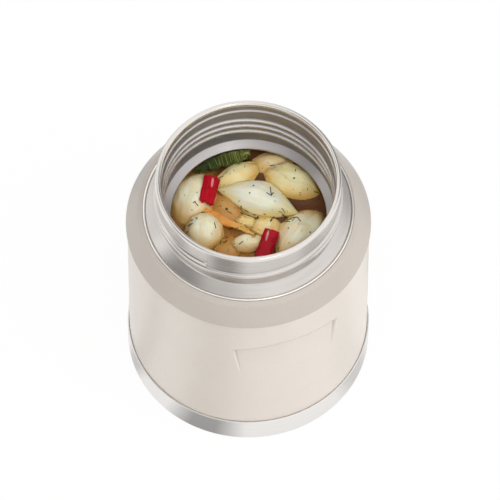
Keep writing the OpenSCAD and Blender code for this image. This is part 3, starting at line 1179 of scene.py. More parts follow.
@dataclass
class VacuumParts:
    """The pieces between the two walls, whose CAD shapes stay and get their finishes."""

    finishes: dict[str, SteelFinish | PlainFinish] = field(
        default_factory=lambda: {
            "vacuum_bottom": SteelFinish("steel_hidden", shade(170, 168, 166), 0.4, 0.01),
            "vacuum_seal": PlainFinish("seal_glass", shade(70, 66, 62), shade(94, 88, 82), 0.0, 0.35),
            "radiation_shield": PlainFinish("foil", shade(205, 158, 120), shade(222, 180, 146), 1.0, 0.3),
            "getter_holder": SteelFinish("steel_holder", shade(160, 158, 156), 0.35, 0.01),
            "getter_pill": PlainFinish("getter", shade(52, 50, 50), shade(74, 70, 68), 0.2, 0.7),
        }
    )

    def build(self, effects: Effects) -> list[bpy.types.Object]:
        """Dresses the CAD nodes.

        Args:
            effects: The shared effects.

        Returns:
            The dressed nodes.
        """
        dressed = []
        for node, finish in self.finishes.items():
            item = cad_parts[node]
            item.data.materials.clear()
            item.data.materials.append(finish.make(effects))
            dressed.append(item)
        return dressed


# ---- food ----------------------------------------------------------------------------------------


class Kind(Enum):
    """The kinds of vegetable in the jar, by how they look. The last word is the record's material slot."""

    PALE = "pale onion"
    AMBER = "amber onion"
    # Onions whose lower parts and sides turn darker: partly broth stain, partly painted shade.
    STAINED = "stained onion"
    SUNK = "sunk onion"
    PEPPER = "pepper"
    CARROT = "carrot"
    LEEK = "leek"

    @property
    def slot(self) -> str:
        """The record's material slot."""
        return self.value.split()[-1]


@dataclass(frozen=True)
class Lie:
    """How a piece lies: its middle, the middle's height above the broth, and its turns in degrees."""

    x: float
    y: float
    raised: float
    heading: float
    tilt: float = 0.0
    roll: float = 0.0

    def matrix(self, level: float) -> Matrix:
        """Takes a piece in millimetres, lying along X, to its place in the jar.

        Args:
            level: Height of the broth in millimetres.

        Returns:
            The transform.
        """
        turns = [math.radians(part) for part in (self.roll, self.tilt, self.heading)]
        turn = Euler(turns, "XYZ").to_matrix().to_4x4()
        return Matrix.Scale(MM, 4) @ Matrix.Translation((self.x, self.y, level + self.raised)) @ turn


@dataclass(frozen=True)
class Onion:
    """A cooked pearl onion or a layer of one: round in the middle, drawn out to a tip at each end."""

    name: str
    lie: Lie
    length: float
    girth: float
    fullness: float
    kind: Kind = Kind.PALE
    node: str = ""
    bend: float = 0.0
    lift: float = 0.0
    peel: float = 200.0
    peel_span: float = 120.0
    peel_step: float = 0.6
    lumps: float = 0.1
    grooves: int = 13
    groove_depth: float = 0.07
    seed: int = 0
    sides: int = 80
    rings: int = 48

    def shape(self) -> bmesh.types.BMesh:
        """Shapes the onion in millimetres, from a sphere whose poles become the tips."""
        bm = bmesh.new()
        bmesh.ops.create_uvsphere(bm, u_segments=self.sides, v_segments=self.rings, radius=1)
        skin = bm.verts.layers.float_vector.new("skin")
        shift = Vector((self.seed * 3.7, 0, 0))
        for vert in bm.verts:
            along = math.acos(min(max(vert.co.z, -1.0), 1.0)) / math.pi
            angle = math.atan2(vert.co.y, vert.co.x)
            vert[skin] = (math.cos(angle), math.sin(angle), along)
            arc = math.sin(math.pi * along)
            place = Vector((math.cos(angle), math.sin(angle), along * 2.5)) + shift
            swell = 1 + self.lumps * (noise.noise(place * 1.3) + 0.4 * noise.noise(place * 3.1))
            groove = 0.5 + 0.5 * math.cos(self.grooves * angle + 4 * noise.noise(place * 0.8))
            radius = self.girth / 2 * arc**self.fullness * swell
            radius -= self.groove_depth * groove * arc**0.5
            ragged = 0.75 + 0.3 * arc + 0.2 * noise.noise(place * 2.2)
            edge = math.radians(self.peel_span / 2) * ragged
            off = abs((angle - math.radians(self.peel) + math.pi) % math.tau - math.pi)
            radius -= self.peel_step * (1 - smooth(edge - 0.09, edge + 0.03, off)) * arc**0.6
            vert.co = (
                self.length * (along - 0.5),
                radius * math.cos(angle) + self.bend * (2 * along - 1) ** 2,
                radius * math.sin(angle) + self.lift * (2 * along - 1) ** 2,
            )
        outwards(bm)
        return bm


@dataclass(frozen=True)
class Strip:
    """A cut strip of vegetable that lies along X, with a crown across it, narrower at its far end, and an
    optional painted highlight streak.
    """

    name: str
    lie: Lie
    length: float
    near_width: float
    far_width: float
    thickness: float
    crown_r: float
    kind: Kind
    node: str = ""
    ragged: float = 0.3
    lumps: float = 0.12
    bend: float = 0.0
    rim: float = 0.4
    seed: int = 0
    # Where the painted highlight streak runs: start and end as shares of the length, and its offset across.
    streak: tuple[float, float, float] = (0.0, 0.0, 0.0)

    def shape(self) -> bmesh.types.BMesh:
        """Shapes the strip in millimetres, from a grid that is crowned, thickened and softened."""
        bm = bmesh.new()
        bmesh.ops.create_grid(bm, x_segments=60, y_segments=28, size=0.5)
        skin = bm.verts.layers.float_vector.new("skin")
        # The streak attribute holds a painted highlight.
        streak = bm.verts.layers.float.new("streak")
        low, high, side = self.streak
        for vert in bm.verts:
            u, v = vert.co.x, vert.co.y
            vert[skin] = (v * 2, 0.0, u + 0.5)
            if high > low:
                vert[streak] = self._painted_highlight((u - low) / (high - low), v - side)
            width = self.near_width + (self.far_width - self.near_width) * (u + 0.5)
            width *= 1 + 0.06 * noise.noise(Vector((u * 4, self.seed, 0.0)))
            turn = math.asin(min(width / 2 / self.crown_r, 0.99)) * 2 * v
            radius = self.crown_r + self.lumps * noise.noise(Vector((u * 5, v * 4, self.seed)))
            end = self.ragged * abs(2 * u) ** 4 * noise.noise(Vector((v * 5, self.seed, u))) * 2
            vert.co = (
                self.length * u + end,
                radius * math.sin(turn),
                radius * math.cos(turn) - self.crown_r - self.bend * (2 * u) ** 2,
            )
        bmesh.ops.recalc_face_normals(bm, faces=bm.faces)
        if sum(f.normal.z for f in bm.faces) < 0:
            bmesh.ops.reverse_faces(bm, faces=bm.faces)
        top = {vert: vert.co.copy() for vert in bm.verts}
        bmesh.ops.solidify(bm, geom=bm.faces[:], thickness=self.thickness)
        flesh = bm.verts.layers.float.new("flesh")
        for vert in bm.verts:
            vert[flesh] = 0.0 if vert in top and (vert.co - top[vert]).length < self.thickness / 4 else 1.0
        rim = [edge for edge in bm.edges if edge.calc_face_angle(0.0) > 1.0]
        bmesh.ops.bevel(
            bm,
            geom=rim,
            offset=self.rim,
            segments=3,
            affect="EDGES",
            profile=0.5,
            material=-1,
            clamp_overlap=True,
        )
        outwards(bm)
        return bm

    @staticmethod
    def _painted_highlight(part: float, off: float) -> float:
        """Strength of the painted highlight streak, by the share of its length and the distance beside it.
        """
        if not 0 < part < 1:
            return 0.0
        wide = 0.06 * math.sin(math.pi * part) ** 0.7
        return 0.95 * (1 - smooth(wide * 0.5, wide + 0.03, abs(off - 0.05 * part)))


@dataclass(frozen=True)
class Blade:
    """One blade of the leek leaf, by its middle angle and half its span in degrees, and its two ends."""

    angle: float
    span: float
    outer_r: float
    inner_r: float
    outer_z: float
    inner_z: float
    tone: float


@dataclass
class LeekLeaf:
    """The green leaf against the back of the throat, made of overlapping blades."""

    blades: tuple[Blade, ...] = (
        Blade(107.0, 8.0, 31.2, 28.4, 96.5, 95.6, 0.0),
        Blade(98.5, 8.0, 31.2, 26.2, 96.8, 95.7, 0.05),
        Blade(89.0, 8.0, 31.2, 25.4, 96.7, 96.3, 0.35),
        Blade(80.5, 6.5, 31.2, 25.6, 96.85, 96.3, 0.6),
        Blade(73.5, 5.0, 31.2, 27.4, 96.8, 95.6, 1.0),
    )
    thickness: float = 0.45
    folds_and_painted_shade: float = 0.3
    # How high the leaf's blades wave, in millimetres.
    top_z: float = 96.9

    def shape(self) -> bmesh.types.BMesh:
        """Shapes every blade from a grid in one mesh, in metres."""
        whole = bmesh.new()
        skin = whole.verts.layers.float_vector.new("skin")
        tone = whole.verts.layers.float.new("tone")
        for number, blade in enumerate(self.blades):
            before = set(whole.verts)
            bmesh.ops.create_grid(whole, x_segments=48, y_segments=20, size=0.5)
            for vert in [v for v in whole.verts if v not in before]:
                u, v = vert.co.x, vert.co.y + 0.5
                rough = noise.noise(Vector((u * 4, number * 3.1, 0)))
                sway = 1.2 * noise.noise(Vector((v * 3, number, 0)))
                angle = math.radians(blade.angle - blade.span * 2 * u * (1 - 0.25 * v) + sway)
                inner = blade.inner_r + 0.5 * rough + 2.6 * abs(2 * u) ** 3
                radius = blade.outer_r + (inner - blade.outer_r) * v
                height = blade.outer_z + (blade.inner_z - blade.outer_z) * v**1.5
                height += self.folds_and_painted_shade * math.sin(11 * u + number) * (0.4 + 0.6 * v) - 0.5 * abs(2 * u) ** 2
                vert[skin] = (u * 2.4, number * 1.7, v)
                vert[tone] = blade.tone
                top = min(height, self.top_z)
                vert.co = Vector((radius * math.cos(angle), radius * math.sin(angle), top)) * MM
        bmesh.ops.recalc_face_normals(whole, faces=whole.faces)
        low = [f for f in whole.faces if f.normal.z < 0]
        bmesh.ops.reverse_faces(whole, faces=low)
        bmesh.ops.solidify(whole, geom=whole.faces[:], thickness=self.thickness * MM)
        outwards(whole)
        return whole


@dataclass
class Broth:
    """The broth in the chamber, with its skin drawn up a little where food comes through it."""

    finish: BrothFinish = BrothFinish()
    level: float = 91.2
    floor_z: float = 10.3
    wall_r: float = 43.2
    edge_r: float = 38.4
    rise: float = 0.6
    reach: float = 0.8
    ripple: float = 0.06
    ripple_density: float = 0.25
    rows: int = 120
    steps: int = 200

    def build(self, effects: Effects, trees: Sequence[BVHTree]) -> bpy.types.Object:
        """Builds the broth.

        Args:
            effects: The shared effects.
            trees: The food's surfaces, in metres.

        Returns:
            The broth, which stands for the CAD one.
        """
        pool = Turned(
            [
                Corner(0.0, self.floor_z),
                Corner(self.wall_r, self.floor_z, 6.5),
                Corner(self.wall_r, self.level - 5.0, 2.0),
                Corner(self.edge_r, self.level),
                Corner(0.0, self.level),
            ],
            self.steps,
        )
        skin = [e for e in pool.bm.edges if all(self._on_top(v) for v in e.verts)]
        radial = [e for e in skin if abs(e.verts[0].co.xy.length - e.verts[1].co.xy.length) > MM]
        bmesh.ops.subdivide_edges(pool.bm, edges=radial, cuts=self.rows)
        for vert in pool.bm.verts:
            if not self._on_top(vert):
                continue
            near = min((tree.find_nearest(vert.co)[3] or 1.0 for tree in trees), default=1.0) / MM
            ripple = self.ripple * noise.noise(vert.co / MM * self.ripple_density)
            vert.co.z += (self.rise * math.exp(-near / self.reach) + ripple) * MM
        outwards(pool.bm)
        return piece(pool.bm, "broth_pool", self.finish.make(effects), "broth", "broth")

    def _on_top(self, vert: bmesh.types.BMVert) -> bool:
        """Whether a vertex is on the broth's level surface."""
        return abs(vert.co.z / MM - self.level) <= 0.01


@dataclass(frozen=True)
class Needle:
    """A needle between two places in the camera's frame, in pixels, with its width in millimetres."""

    x: float
    y: float
    end_x: float
    end_y: float
    width: float = 0.42

    def at(self, part: float) -> tuple[float, float]:
        """The place in the frame at a share of the needle's length."""
        return self.x + (self.end_x - self.x) * part, self.y + (self.end_y - self.y) * part


@dataclass
class Dill:
    """Chopped dill that lies on the food where the camera sees it, and flecks strewn over everything."""

    name: str = "dill"
    finish: FleshFinish = FleshFinish(
        "dill",
        shade(104, 98, 22),
        vein=shade(76, 74, 10),
        soaked_and_shade=shade(104, 66, 16),
        level=91.2,
        reach=1.0,
        count=3.0,
        coat=0.0,
        specular=0.05,
        roughness=0.6,
    )
    needles: tuple[Needle, ...] = (
        Needle(270.2, 187.4, 271.3, 195.6),
        Needle(266.4, 192.7, 270.8, 195.4),
        Needle(273.2, 192.7, 271.2, 195.4),
        Needle(253.0, 185.9, 254.0, 185.5, 0.6),
        Needle(249.2, 193.3, 250.4, 192.7, 0.6),
        Needle(269.8, 165.5, 274.4, 165.2),
        Needle(295.6, 169.4, 295.3, 171.4),
        Needle(293.6, 177.8, 294.6, 178.6, 0.9),
        Needle(299.5, 194.6, 300.3, 194.7, 0.5),
        Needle(314.0, 191.6, 318.6, 192.7),
        Needle(217.6, 179.4, 219.6, 177.6, 0.34),
        Needle(219.6, 177.6, 223.4, 176.3, 0.3),
        Needle(193.1, 202.7, 195.6, 201.2, 0.45),
        Needle(194.6, 201.8, 198.1, 206.0, 0.42),
        Needle(220.2, 205.9, 221.2, 206.8, 0.4),
        Needle(225.6, 208.6, 227.8, 209.6, 1.1),
        Needle(227.3, 211.2, 231.9, 213.4, 0.34),
        Needle(234.4, 207.6, 235.0, 208.4, 0.45),
        Needle(241.0, 205.8, 241.5, 208.6, 0.55),
        Needle(244.9, 209.7, 248.6, 212.0, 0.5),
        Needle(240.4, 212.5, 243.2, 214.2, 0.6),
        Needle(253.4, 214.2, 255.7, 215.0, 0.4),
        Needle(263.4, 213.9, 265.9, 214.2, 0.4),
        Needle(257.9, 215.9, 257.4, 218.8, 0.55),
        Needle(273.8, 217.1, 270.4, 221.4, 0.75),
        Needle(282.3, 214.2, 286.8, 218.2, 0.6),
        Needle(285.1, 221.6, 290.2, 221.6, 0.4),
        Needle(286.8, 218.2, 287.4, 221.8, 0.34),
        Needle(287.4, 219.8, 291.9, 219.2, 0.34),
        Needle(290.8, 218.4, 297.0, 217.1, 0.4),
        Needle(297.0, 217.1, 300.8, 221.4, 0.4),
        Needle(292.4, 221.2, 294.6, 218.0, 0.32),
        Needle(281.7, 208.0, 285.1, 212.5, 0.3),
        Needle(278.6, 211.2, 282.0, 212.4, 0.3),
        Needle(201.3, 212.8, 204.7, 212.0, 0.45),
        Needle(196.0, 218.0, 197.4, 218.8, 0.45),
        Needle(191.1, 220.5, 193.3, 219.9, 0.45),
        Needle(188.2, 226.1, 192.8, 223.3, 0.42),
        Needle(186.0, 233.5, 188.2, 231.2, 0.42),
        Needle(214.3, 222.7, 215.8, 228.4, 0.4),
        Needle(227.9, 230.1, 231.9, 228.4, 0.36),
        Needle(231.9, 228.4, 237.5, 228.5, 0.36),
        Needle(239.2, 230.4, 242.1, 231.3, 0.4),
        Needle(244.3, 224.4, 247.7, 227.8, 0.34),
        Needle(225.3, 237.5, 227.3, 237.2, 0.5),
        Needle(224.8, 243.1, 227.1, 240.3, 0.5),
        Needle(222.6, 242.2, 224.4, 242.0, 0.4),
        Needle(220.5, 240.9, 220.3, 244.3, 0.4),
        Needle(239.2, 244.3, 243.2, 241.1, 0.42),
        Needle(254.5, 234.3, 256.8, 234.3, 0.36),
        Needle(288.2, 228.0, 288.9, 228.5, 0.5),
        Needle(288.8, 242.7, 289.5, 243.2, 0.5),
        Needle(309.5, 232.0, 310.8, 232.4, 0.5),
        Needle(278.7, 247.1, 278.7, 249.9, 0.36),
    )
    flecks: int = 90
    spread_r: float = 29.0
    drop_z: float = 124.0
    seed: int = 5
    bends: int = 3
    longest_gap: float = 4.0
    needle_lift: float = 0.1
    fleck_lift: float = 0.05

    def build(
        self, effects: Effects, trees: Sequence[BVHTree], camera: bpy.types.Object
    ) -> bpy.types.Object:
        """Lays every needle and fleck.

        Args:
            effects: The shared effects.
            trees: The surfaces that the dill may lie on, in metres.
            camera: The camera whose frame places the needles.

        Returns:
            The dill, as one piece.
        """
        bm = bmesh.new()
        skin = bm.verts.layers.float_vector.new("skin")
        for needle in self.needles:
            places = [needle.at(step / self.bends) for step in range(self.bends + 1)]
            points = [hit for hit in (self._seen(trees, camera, x, y) for x, y in places) if hit]
            for (first, up), (second, _) in zip(points, points[1:]):
                if (second - first).length < self.longest_gap * MM:
                    lift = up * self.needle_lift * MM
                    self._stick(bm, first + lift, second + lift, needle.width * MM)
        draw = random.Random(self.seed)
        down = Vector((0, 0, -1))
        for _ in range(self.flecks):
            radius, angle = self.spread_r * math.sqrt(draw.random()), draw.uniform(0, math.tau)
            heading, length = draw.uniform(0, math.tau), draw.uniform(0.25, 1.0)
            width = draw.uniform(0.16, 0.3)
            drop = Vector((radius * math.cos(angle), radius * math.sin(angle), self.drop_z)) * MM
            found = self._hit(trees, drop, down)
            if found:
                place, up = found
                side = up.cross(Vector((math.cos(heading), math.sin(heading), 0))).normalized()
                start = place + up * self.fleck_lift * MM
                self._stick(bm, start, start + side * length * MM, width * MM)
        for vert in bm.verts:
            vert[skin] = vert.co / MM * 0.2
        bmesh.ops.recalc_face_normals(bm, faces=bm.faces)
        return piece(bm, self.name, self.finish.make(effects), Kind.LEEK.slot)

    def _seen(self, trees: Sequence[BVHTree], camera: bpy.types.Object, x: float, y: float) -> Hit | None:
        """The point and normal that the camera sees at a place in its frame."""
        focal = camera.data.lens / camera.data.sensor_width * FRAME
        ray = Vector(((x - FRAME / 2) / focal, (FRAME / 2 - y) / focal, -1))
        return self._hit(trees, camera.location, (camera.matrix_basis.to_quaternion() @ ray).normalized())

    @staticmethod
    def _hit(trees: Sequence[BVHTree], start: Vector, ray: Vector) -> Hit | None:
        """The first point and normal that a ray meets."""
        hits = [hit for hit in (tree.ray_cast(start, ray) for tree in trees) if hit[0]]
        if not hits:
            return None
        point, normal, _, _ = min(hits, key=lambda hit: hit[3])
        return point, normal

    @staticmethod
    def _stick(bm: bmesh.types.BMesh, first: Vector, second: Vector, width: float) -> None:
        """Adds a thin five-sided stick between two points."""
        along = second - first
        if along.length < 1e-5:
            return
        turn = along.to_track_quat("Z", "Y").to_matrix().to_4x4()
        bmesh.ops.create_cone(
            bm,
            cap_ends=True,
            segments=5,
            radius1=width / 2,
            radius2=width / 2.6,
            depth=along.length * 1.1,
            matrix=Matrix.Translation((first + second) / 2) @ turn,
        )


@dataclass
class Food:
    """Everything that is served in the jar."""

    level: float = 91.2
    throat_r: float = 31.45
    throat_z: float = 96.0
    flare: float = 1.4
    clearance: float = 0.06
    finishes: dict[Kind, FleshFinish] = field(
        default_factory=lambda: {
            Kind.PALE: OnionFinish(
                "onion",
                shade(255, 255, 247),
                vein=shade(250, 240, 196),
                soaked_and_shade=shade(248, 226, 154),
                level=91.7,
                reach=4.2,
                depth=2.4,
                vein_amount=0.55,
                painted_side_shade=0.26,
            ),
            Kind.AMBER: OnionFinish(
                "onion_amber",
                shade(255, 252, 220),
                vein=shade(248, 232, 158),
                soaked_and_shade=shade(242, 202, 118),
                level=92.0,
                reach=4.4,
                depth=2.0,
                painted_side_shade=0.3,
            ),
            # Onions with broth stain and more painted shade low down and on their sides.
            Kind.STAINED: OnionFinish(
                "onion_stained_and_shaded",
                shade(255, 253, 232),
                vein=shade(242, 228, 172),
                soaked_and_shade=shade(228, 190, 118),
                level=92.0,
                reach=4.2,
                depth=2.0,
                painted_side_shade=0.42,
            ),
            Kind.SUNK: FleshFinish(
                "onion_sunk",
                shade(228, 192, 120),
                vein=shade(204, 156, 90),
                soaked_and_shade=shade(202, 150, 78),
                level=92.0,
                reach=3.0,
                depth=1.4,
                vein_amount=0.8,
                relief=0.05,
            ),
            Kind.PEPPER: FleshFinish(
                "pepper",
                shade(190, 0, 36),
                vein=shade(164, 0, 28),
                soaked_and_shade=shade(138, 2, 20),
                level=92.0,
                reach=4.0,
                depth=0.5,
                vein_amount=0.3,
                roughness=0.2,
                coat=0.22,
                specular=0.1,
                inside="flesh",
                inside_colour=shade(204, 18, 36),
                painted_highlight_colour=shade(255, 186, 196),
            ),
            Kind.CARROT: FleshFinish(
                "carrot",
                shade(255, 178, 80),
                vein=shade(255, 212, 144),
                soaked_and_shade=shade(240, 156, 72),
                level=91.6,
                reach=3.0,
                depth=0.8,
                count=6.0,
                vein_amount=0.7,
                roughness=0.3,
                coat=0.2,
                specular=0.25,
            ),
            Kind.LEEK: FleshFinish(
                "leek",
                shade(34, 58, 22),
                vein=shade(92, 104, 40),
                soaked_and_shade=shade(40, 40, 12),
                level=91.8,
                reach=2.0,
                depth=0.3,
                count=16.0,
                vein_amount=0.65,
                roughness=0.35,
                coat=0.15,
                specular=0.12,
                inside="tone",
                inside_colour=shade(146, 152, 66),
            ),
        }
    )
    strips: tuple[Strip, ...] = (
        Strip(
            "red_pepper_left", Lie(-10.3, 17.3, 6.3, -121, -4, -16), 12.6, 6.9, 6.5, 2.0, 5.0, Kind.PEPPER,
            "pepper_left", seed=3, streak=(-0.43, -0.06, 0.02),
        ),
        Strip(
            "red_pepper_right", Lie(2.6, -14.6, 5.2, 51, -6), 14.0, 6.9, 6.5, 2.0, 5.0, Kind.PEPPER,
            "pepper_right", ragged=0.15, seed=9, streak=(0.1, 0.44, 0.12),
        ),
        Strip(
            "carrot_slip", Lie(-13.3, 8.6, 3.0, -42, 3), 9.4, 2.4, 1.8, 1.4, 9.0, Kind.CARROT,
            "carrot_short", ragged=0.7, lumps=0.2, bend=0.4, rim=0.3, seed=14,
        ),
        Strip(
            "carrot_strip", Lie(-6.1, -1.8, 4.6, -54, -11), 18.0, 3.6, 1.0, 1.1, 9.0, Kind.CARROT,
            "carrot_long", ragged=0.7, lumps=0.2, bend=0.3, rim=0.25, seed=21,
        ),
    )
    onions: tuple[Onion, ...] = (
        Onion(
            "hero_onion", Lie(7.6, 8.5, -1.3, -39), 36.0, 17.4, 1.1, Kind.PALE, "onion_hero",
            peel=215, bend=-1.4, lift=3.0, seed=1,
        ),
        Onion(
            "low_left_onion", Lie(-18.6, 1.9, -0.6, 62), 18.4, 16.2, 0.55, Kind.STAINED, "onion_low_left",
            peel=300, seed=2,
        ),
        Onion(
            "small_onion", Lie(-3.9, -9.7, 1.3, -12), 15.0, 8.4, 0.55, Kind.STAINED, "onion_small",
            peel=250, lumps=0.06, seed=3,
        ),
        Onion(
            "pale_bit", Lie(6.0, -5.0, 0.4, -18), 13.5, 9.4, 0.6, Kind.AMBER,
            peel=80, lumps=0.14, seed=4,
        ),
        Onion(
            "orange_bit", Lie(-0.8, 0.2, 0.2, -40), 11.0, 7.4, 0.6, Kind.AMBER,
            peel=60, lumps=0.14, seed=5,
        ),
        Onion(
            "back_onion", Lie(2.7, 21.4, -0.3, 10), 26.0, 12.2, 0.85, Kind.AMBER, "onion_back",
            peel=110, bend=1.2, seed=6,
        ),
        Onion(
            "low_right_onion", Lie(18.2, -11.9, -1.6, 30, 5), 28.5, 18.4, 0.62, Kind.STAINED,
            "onion_low_right", peel=60, peel_span=70, seed=7,
        ),
        Onion(
            "left_onion", Lie(-17.2, 18.0, -3.3, 53), 29.0, 20.0, 0.6, Kind.STAINED, "onion_left",
            peel=230, peel_span=150, seed=8,
        ),
        Onion(
            "right_onion", Lie(23.2, 12.4, -1.7, -49), 27.5, 17.0, 0.62, Kind.AMBER, "onion_right",
            peel=60, peel_span=90, seed=9,
        ),
        Onion("far_layer", Lie(18.6, 23.0, -1.5, -20), 21.0, 11.5, 0.7, Kind.STAINED, peel=100, seed=10),
        Onion("sunk_onion", Lie(-6.4, 8.4, -3.2, -52), 27.0, 14.0, 0.7, Kind.SUNK, peel=110, seed=11),
        Onion("sunk_piece", Lie(-11.5, -9.0, -3.4, 20), 20.0, 13.0, 0.7, Kind.SUNK, peel=100, seed=12),
        Onion("front_onion", Lie(-7.5, -21.6, -2.7, -20), 25.0, 15.0, 0.62, Kind.AMBER, peel=60, seed=13),
        Onion(
            "front_left_onion", Lie(-21.4, -13.6, -2.4, -56), 21.0, 13.0, 0.6, Kind.STAINED,
            peel=120, seed=14,
        ),
        Onion("front_right_onion", Lie(7.4, -26.6, -3.0, 14), 17.0, 9.5, 0.7, Kind.AMBER, peel=80, seed=15),
    )
    leaf: LeekLeaf = field(default_factory=LeekLeaf)
    broth: Broth = field(default_factory=Broth)
    dill: Dill = field(default_factory=Dill)
    fibres: Dill = field(
        default_factory=lambda: Dill(
            "leek_fibres",
            FleshFinish(
                "leek_fibres",
                shade(168, 172, 112),
                vein=shade(132, 140, 72),
                soaked_and_shade=shade(120, 120, 60),
                level=91.2,
                reach=1.0,
                count=2.0,
                coat=0.0,
                specular=0.1,
                roughness=0.5,
            ),
            (
                Needle(224.2, 152.8, 226.7, 160.3, 0.34),
                Needle(226.7, 160.3, 228.3, 166.2, 0.3),
                Needle(235.2, 152.0, 235.6, 155.8, 0.45),
                Needle(235.6, 155.8, 239.2, 164.5, 0.34),
                Needle(229.2, 152.8, 231.7, 165.3, 0.22),
                Needle(214.6, 158.7, 217.5, 165.3, 0.2),
                Needle(231.5, 151.8, 233.2, 164.0, 0.2),
                Needle(242.5, 155.4, 246.0, 152.8, 1.2),
                Needle(246.0, 152.8, 248.6, 153.6, 1.0),
                Needle(243.5, 157.0, 246.5, 161.5, 0.26),
                Needle(240.5, 153.5, 243.5, 163.0, 0.22),
                Needle(221.0, 155.2, 223.8, 165.5, 0.18),
                Needle(218.0, 157.0, 220.5, 166.5, 0.18),
                Needle(237.6, 152.2, 241.4, 164.0, 0.2),
                Needle(233.2, 152.4, 236.2, 165.0, 0.22),
                Needle(208.0, 161.8, 211.0, 168.4, 0.16),
            ),
            flecks=0,
        )
    )

    def build(self, effects: Effects, camera: bpy.types.Object) -> list[bpy.types.Object]:
        """Builds the food from the top piece down, each one making room for those above it.

        Args:
            effects: The shared effects.
            camera: The camera whose frame places the dill.

        Returns:
            Every piece of food.
        """
        materials = {kind: finish.make(effects) for kind, finish in self.finishes.items()}
        made = []
        trees = []
        shapes = [
            *self._placed(self.strips),
            ("green_leaf", Kind.LEEK, "leek_leaf", self.leaf.shape()),
            *self._placed(self.onions),
        ]
        above = []
        for name, kind, node, bm in shapes:
            self._settle(bm, above)
            trees.append(BVHTree.FromBMesh(bm))
            above.append((trees[-1], kind.slot != Kind.PALE.slot))
            made.append(piece(bm, name, materials[kind], kind.slot, *([node] if node else [])))
        made.append(self.broth.build(effects, trees))
        pool = bmesh.new()
        pool.from_mesh(made[-1].data)
        trees.append(BVHTree.FromBMesh(pool))
        pool.free()
        made.append(self.fibres.build(effects, trees, camera))
        made.append(self.dill.build(effects, trees, camera))
        return made

    def _placed(self, morsels: Sequence[Onion | Strip]) -> list[tuple[str, Kind, str, bmesh.types.BMesh]]:
        """Shapes pieces and takes them to their places.

        Args:
            morsels: The pieces.

        Returns:
            The name, kind, CAD node and shape of each piece.
        """
        placed = []
        for morsel in morsels:
            bm = morsel.shape()
            bmesh.ops.transform(bm, matrix=morsel.lie.matrix(self.level), verts=bm.verts)
            placed.append((morsel.name, morsel.kind, morsel.node, bm))
        return placed

    def _settle(self, bm: bmesh.types.BMesh, above: Sequence[tuple[BVHTree, bool]]) -> None:
        """Presses the dents of the pieces above into a piece, and keeps it clear of the throat's wall.

        Args:
            bm: The piece.
            above: The surface of each piece above it, and whether that one is thin, so that its dent goes
                straight down.
        """
        up = Vector((0, 0, 1))
        for vert in bm.verts:
            for tree, thin in above:
                hit, normal, _, _ = tree.ray_cast(vert.co, up)
                if not hit or normal.z <= 0:
                    continue
                if thin:
                    low = tree.ray_cast(vert.co, -up)[0]
                    if low:
                        vert.co = low - up * self.clearance * MM
                else:
                    point, normal, _, _ = tree.find_nearest(vert.co)
                    vert.co = point + normal * self.clearance * MM
            limit = (self.throat_r + max(0.0, self.throat_z - vert.co.z / MM) * self.flare) * MM
            reach = vert.co.xy.length
            if reach > limit:
                vert.co.xy *= limit / reach


# ---- studio --------------------------------------------------------------------------------------


@dataclass(frozen=True)
class Lamp:
    """A soft lamp aimed at the jar, placed by azimuth and elevation in degrees."""

    name: str
    azimuth: float
    elevation: float
    distance: float
    width: float
    height: float
    power: float
    mirrored: bool = False


@dataclass(frozen=True)
class Flag:
    """A darker or brighter part of the surround that only steel, paint and wet food mirror."""

    azimuth: float
    elevation: float
    spread: float
    level: float


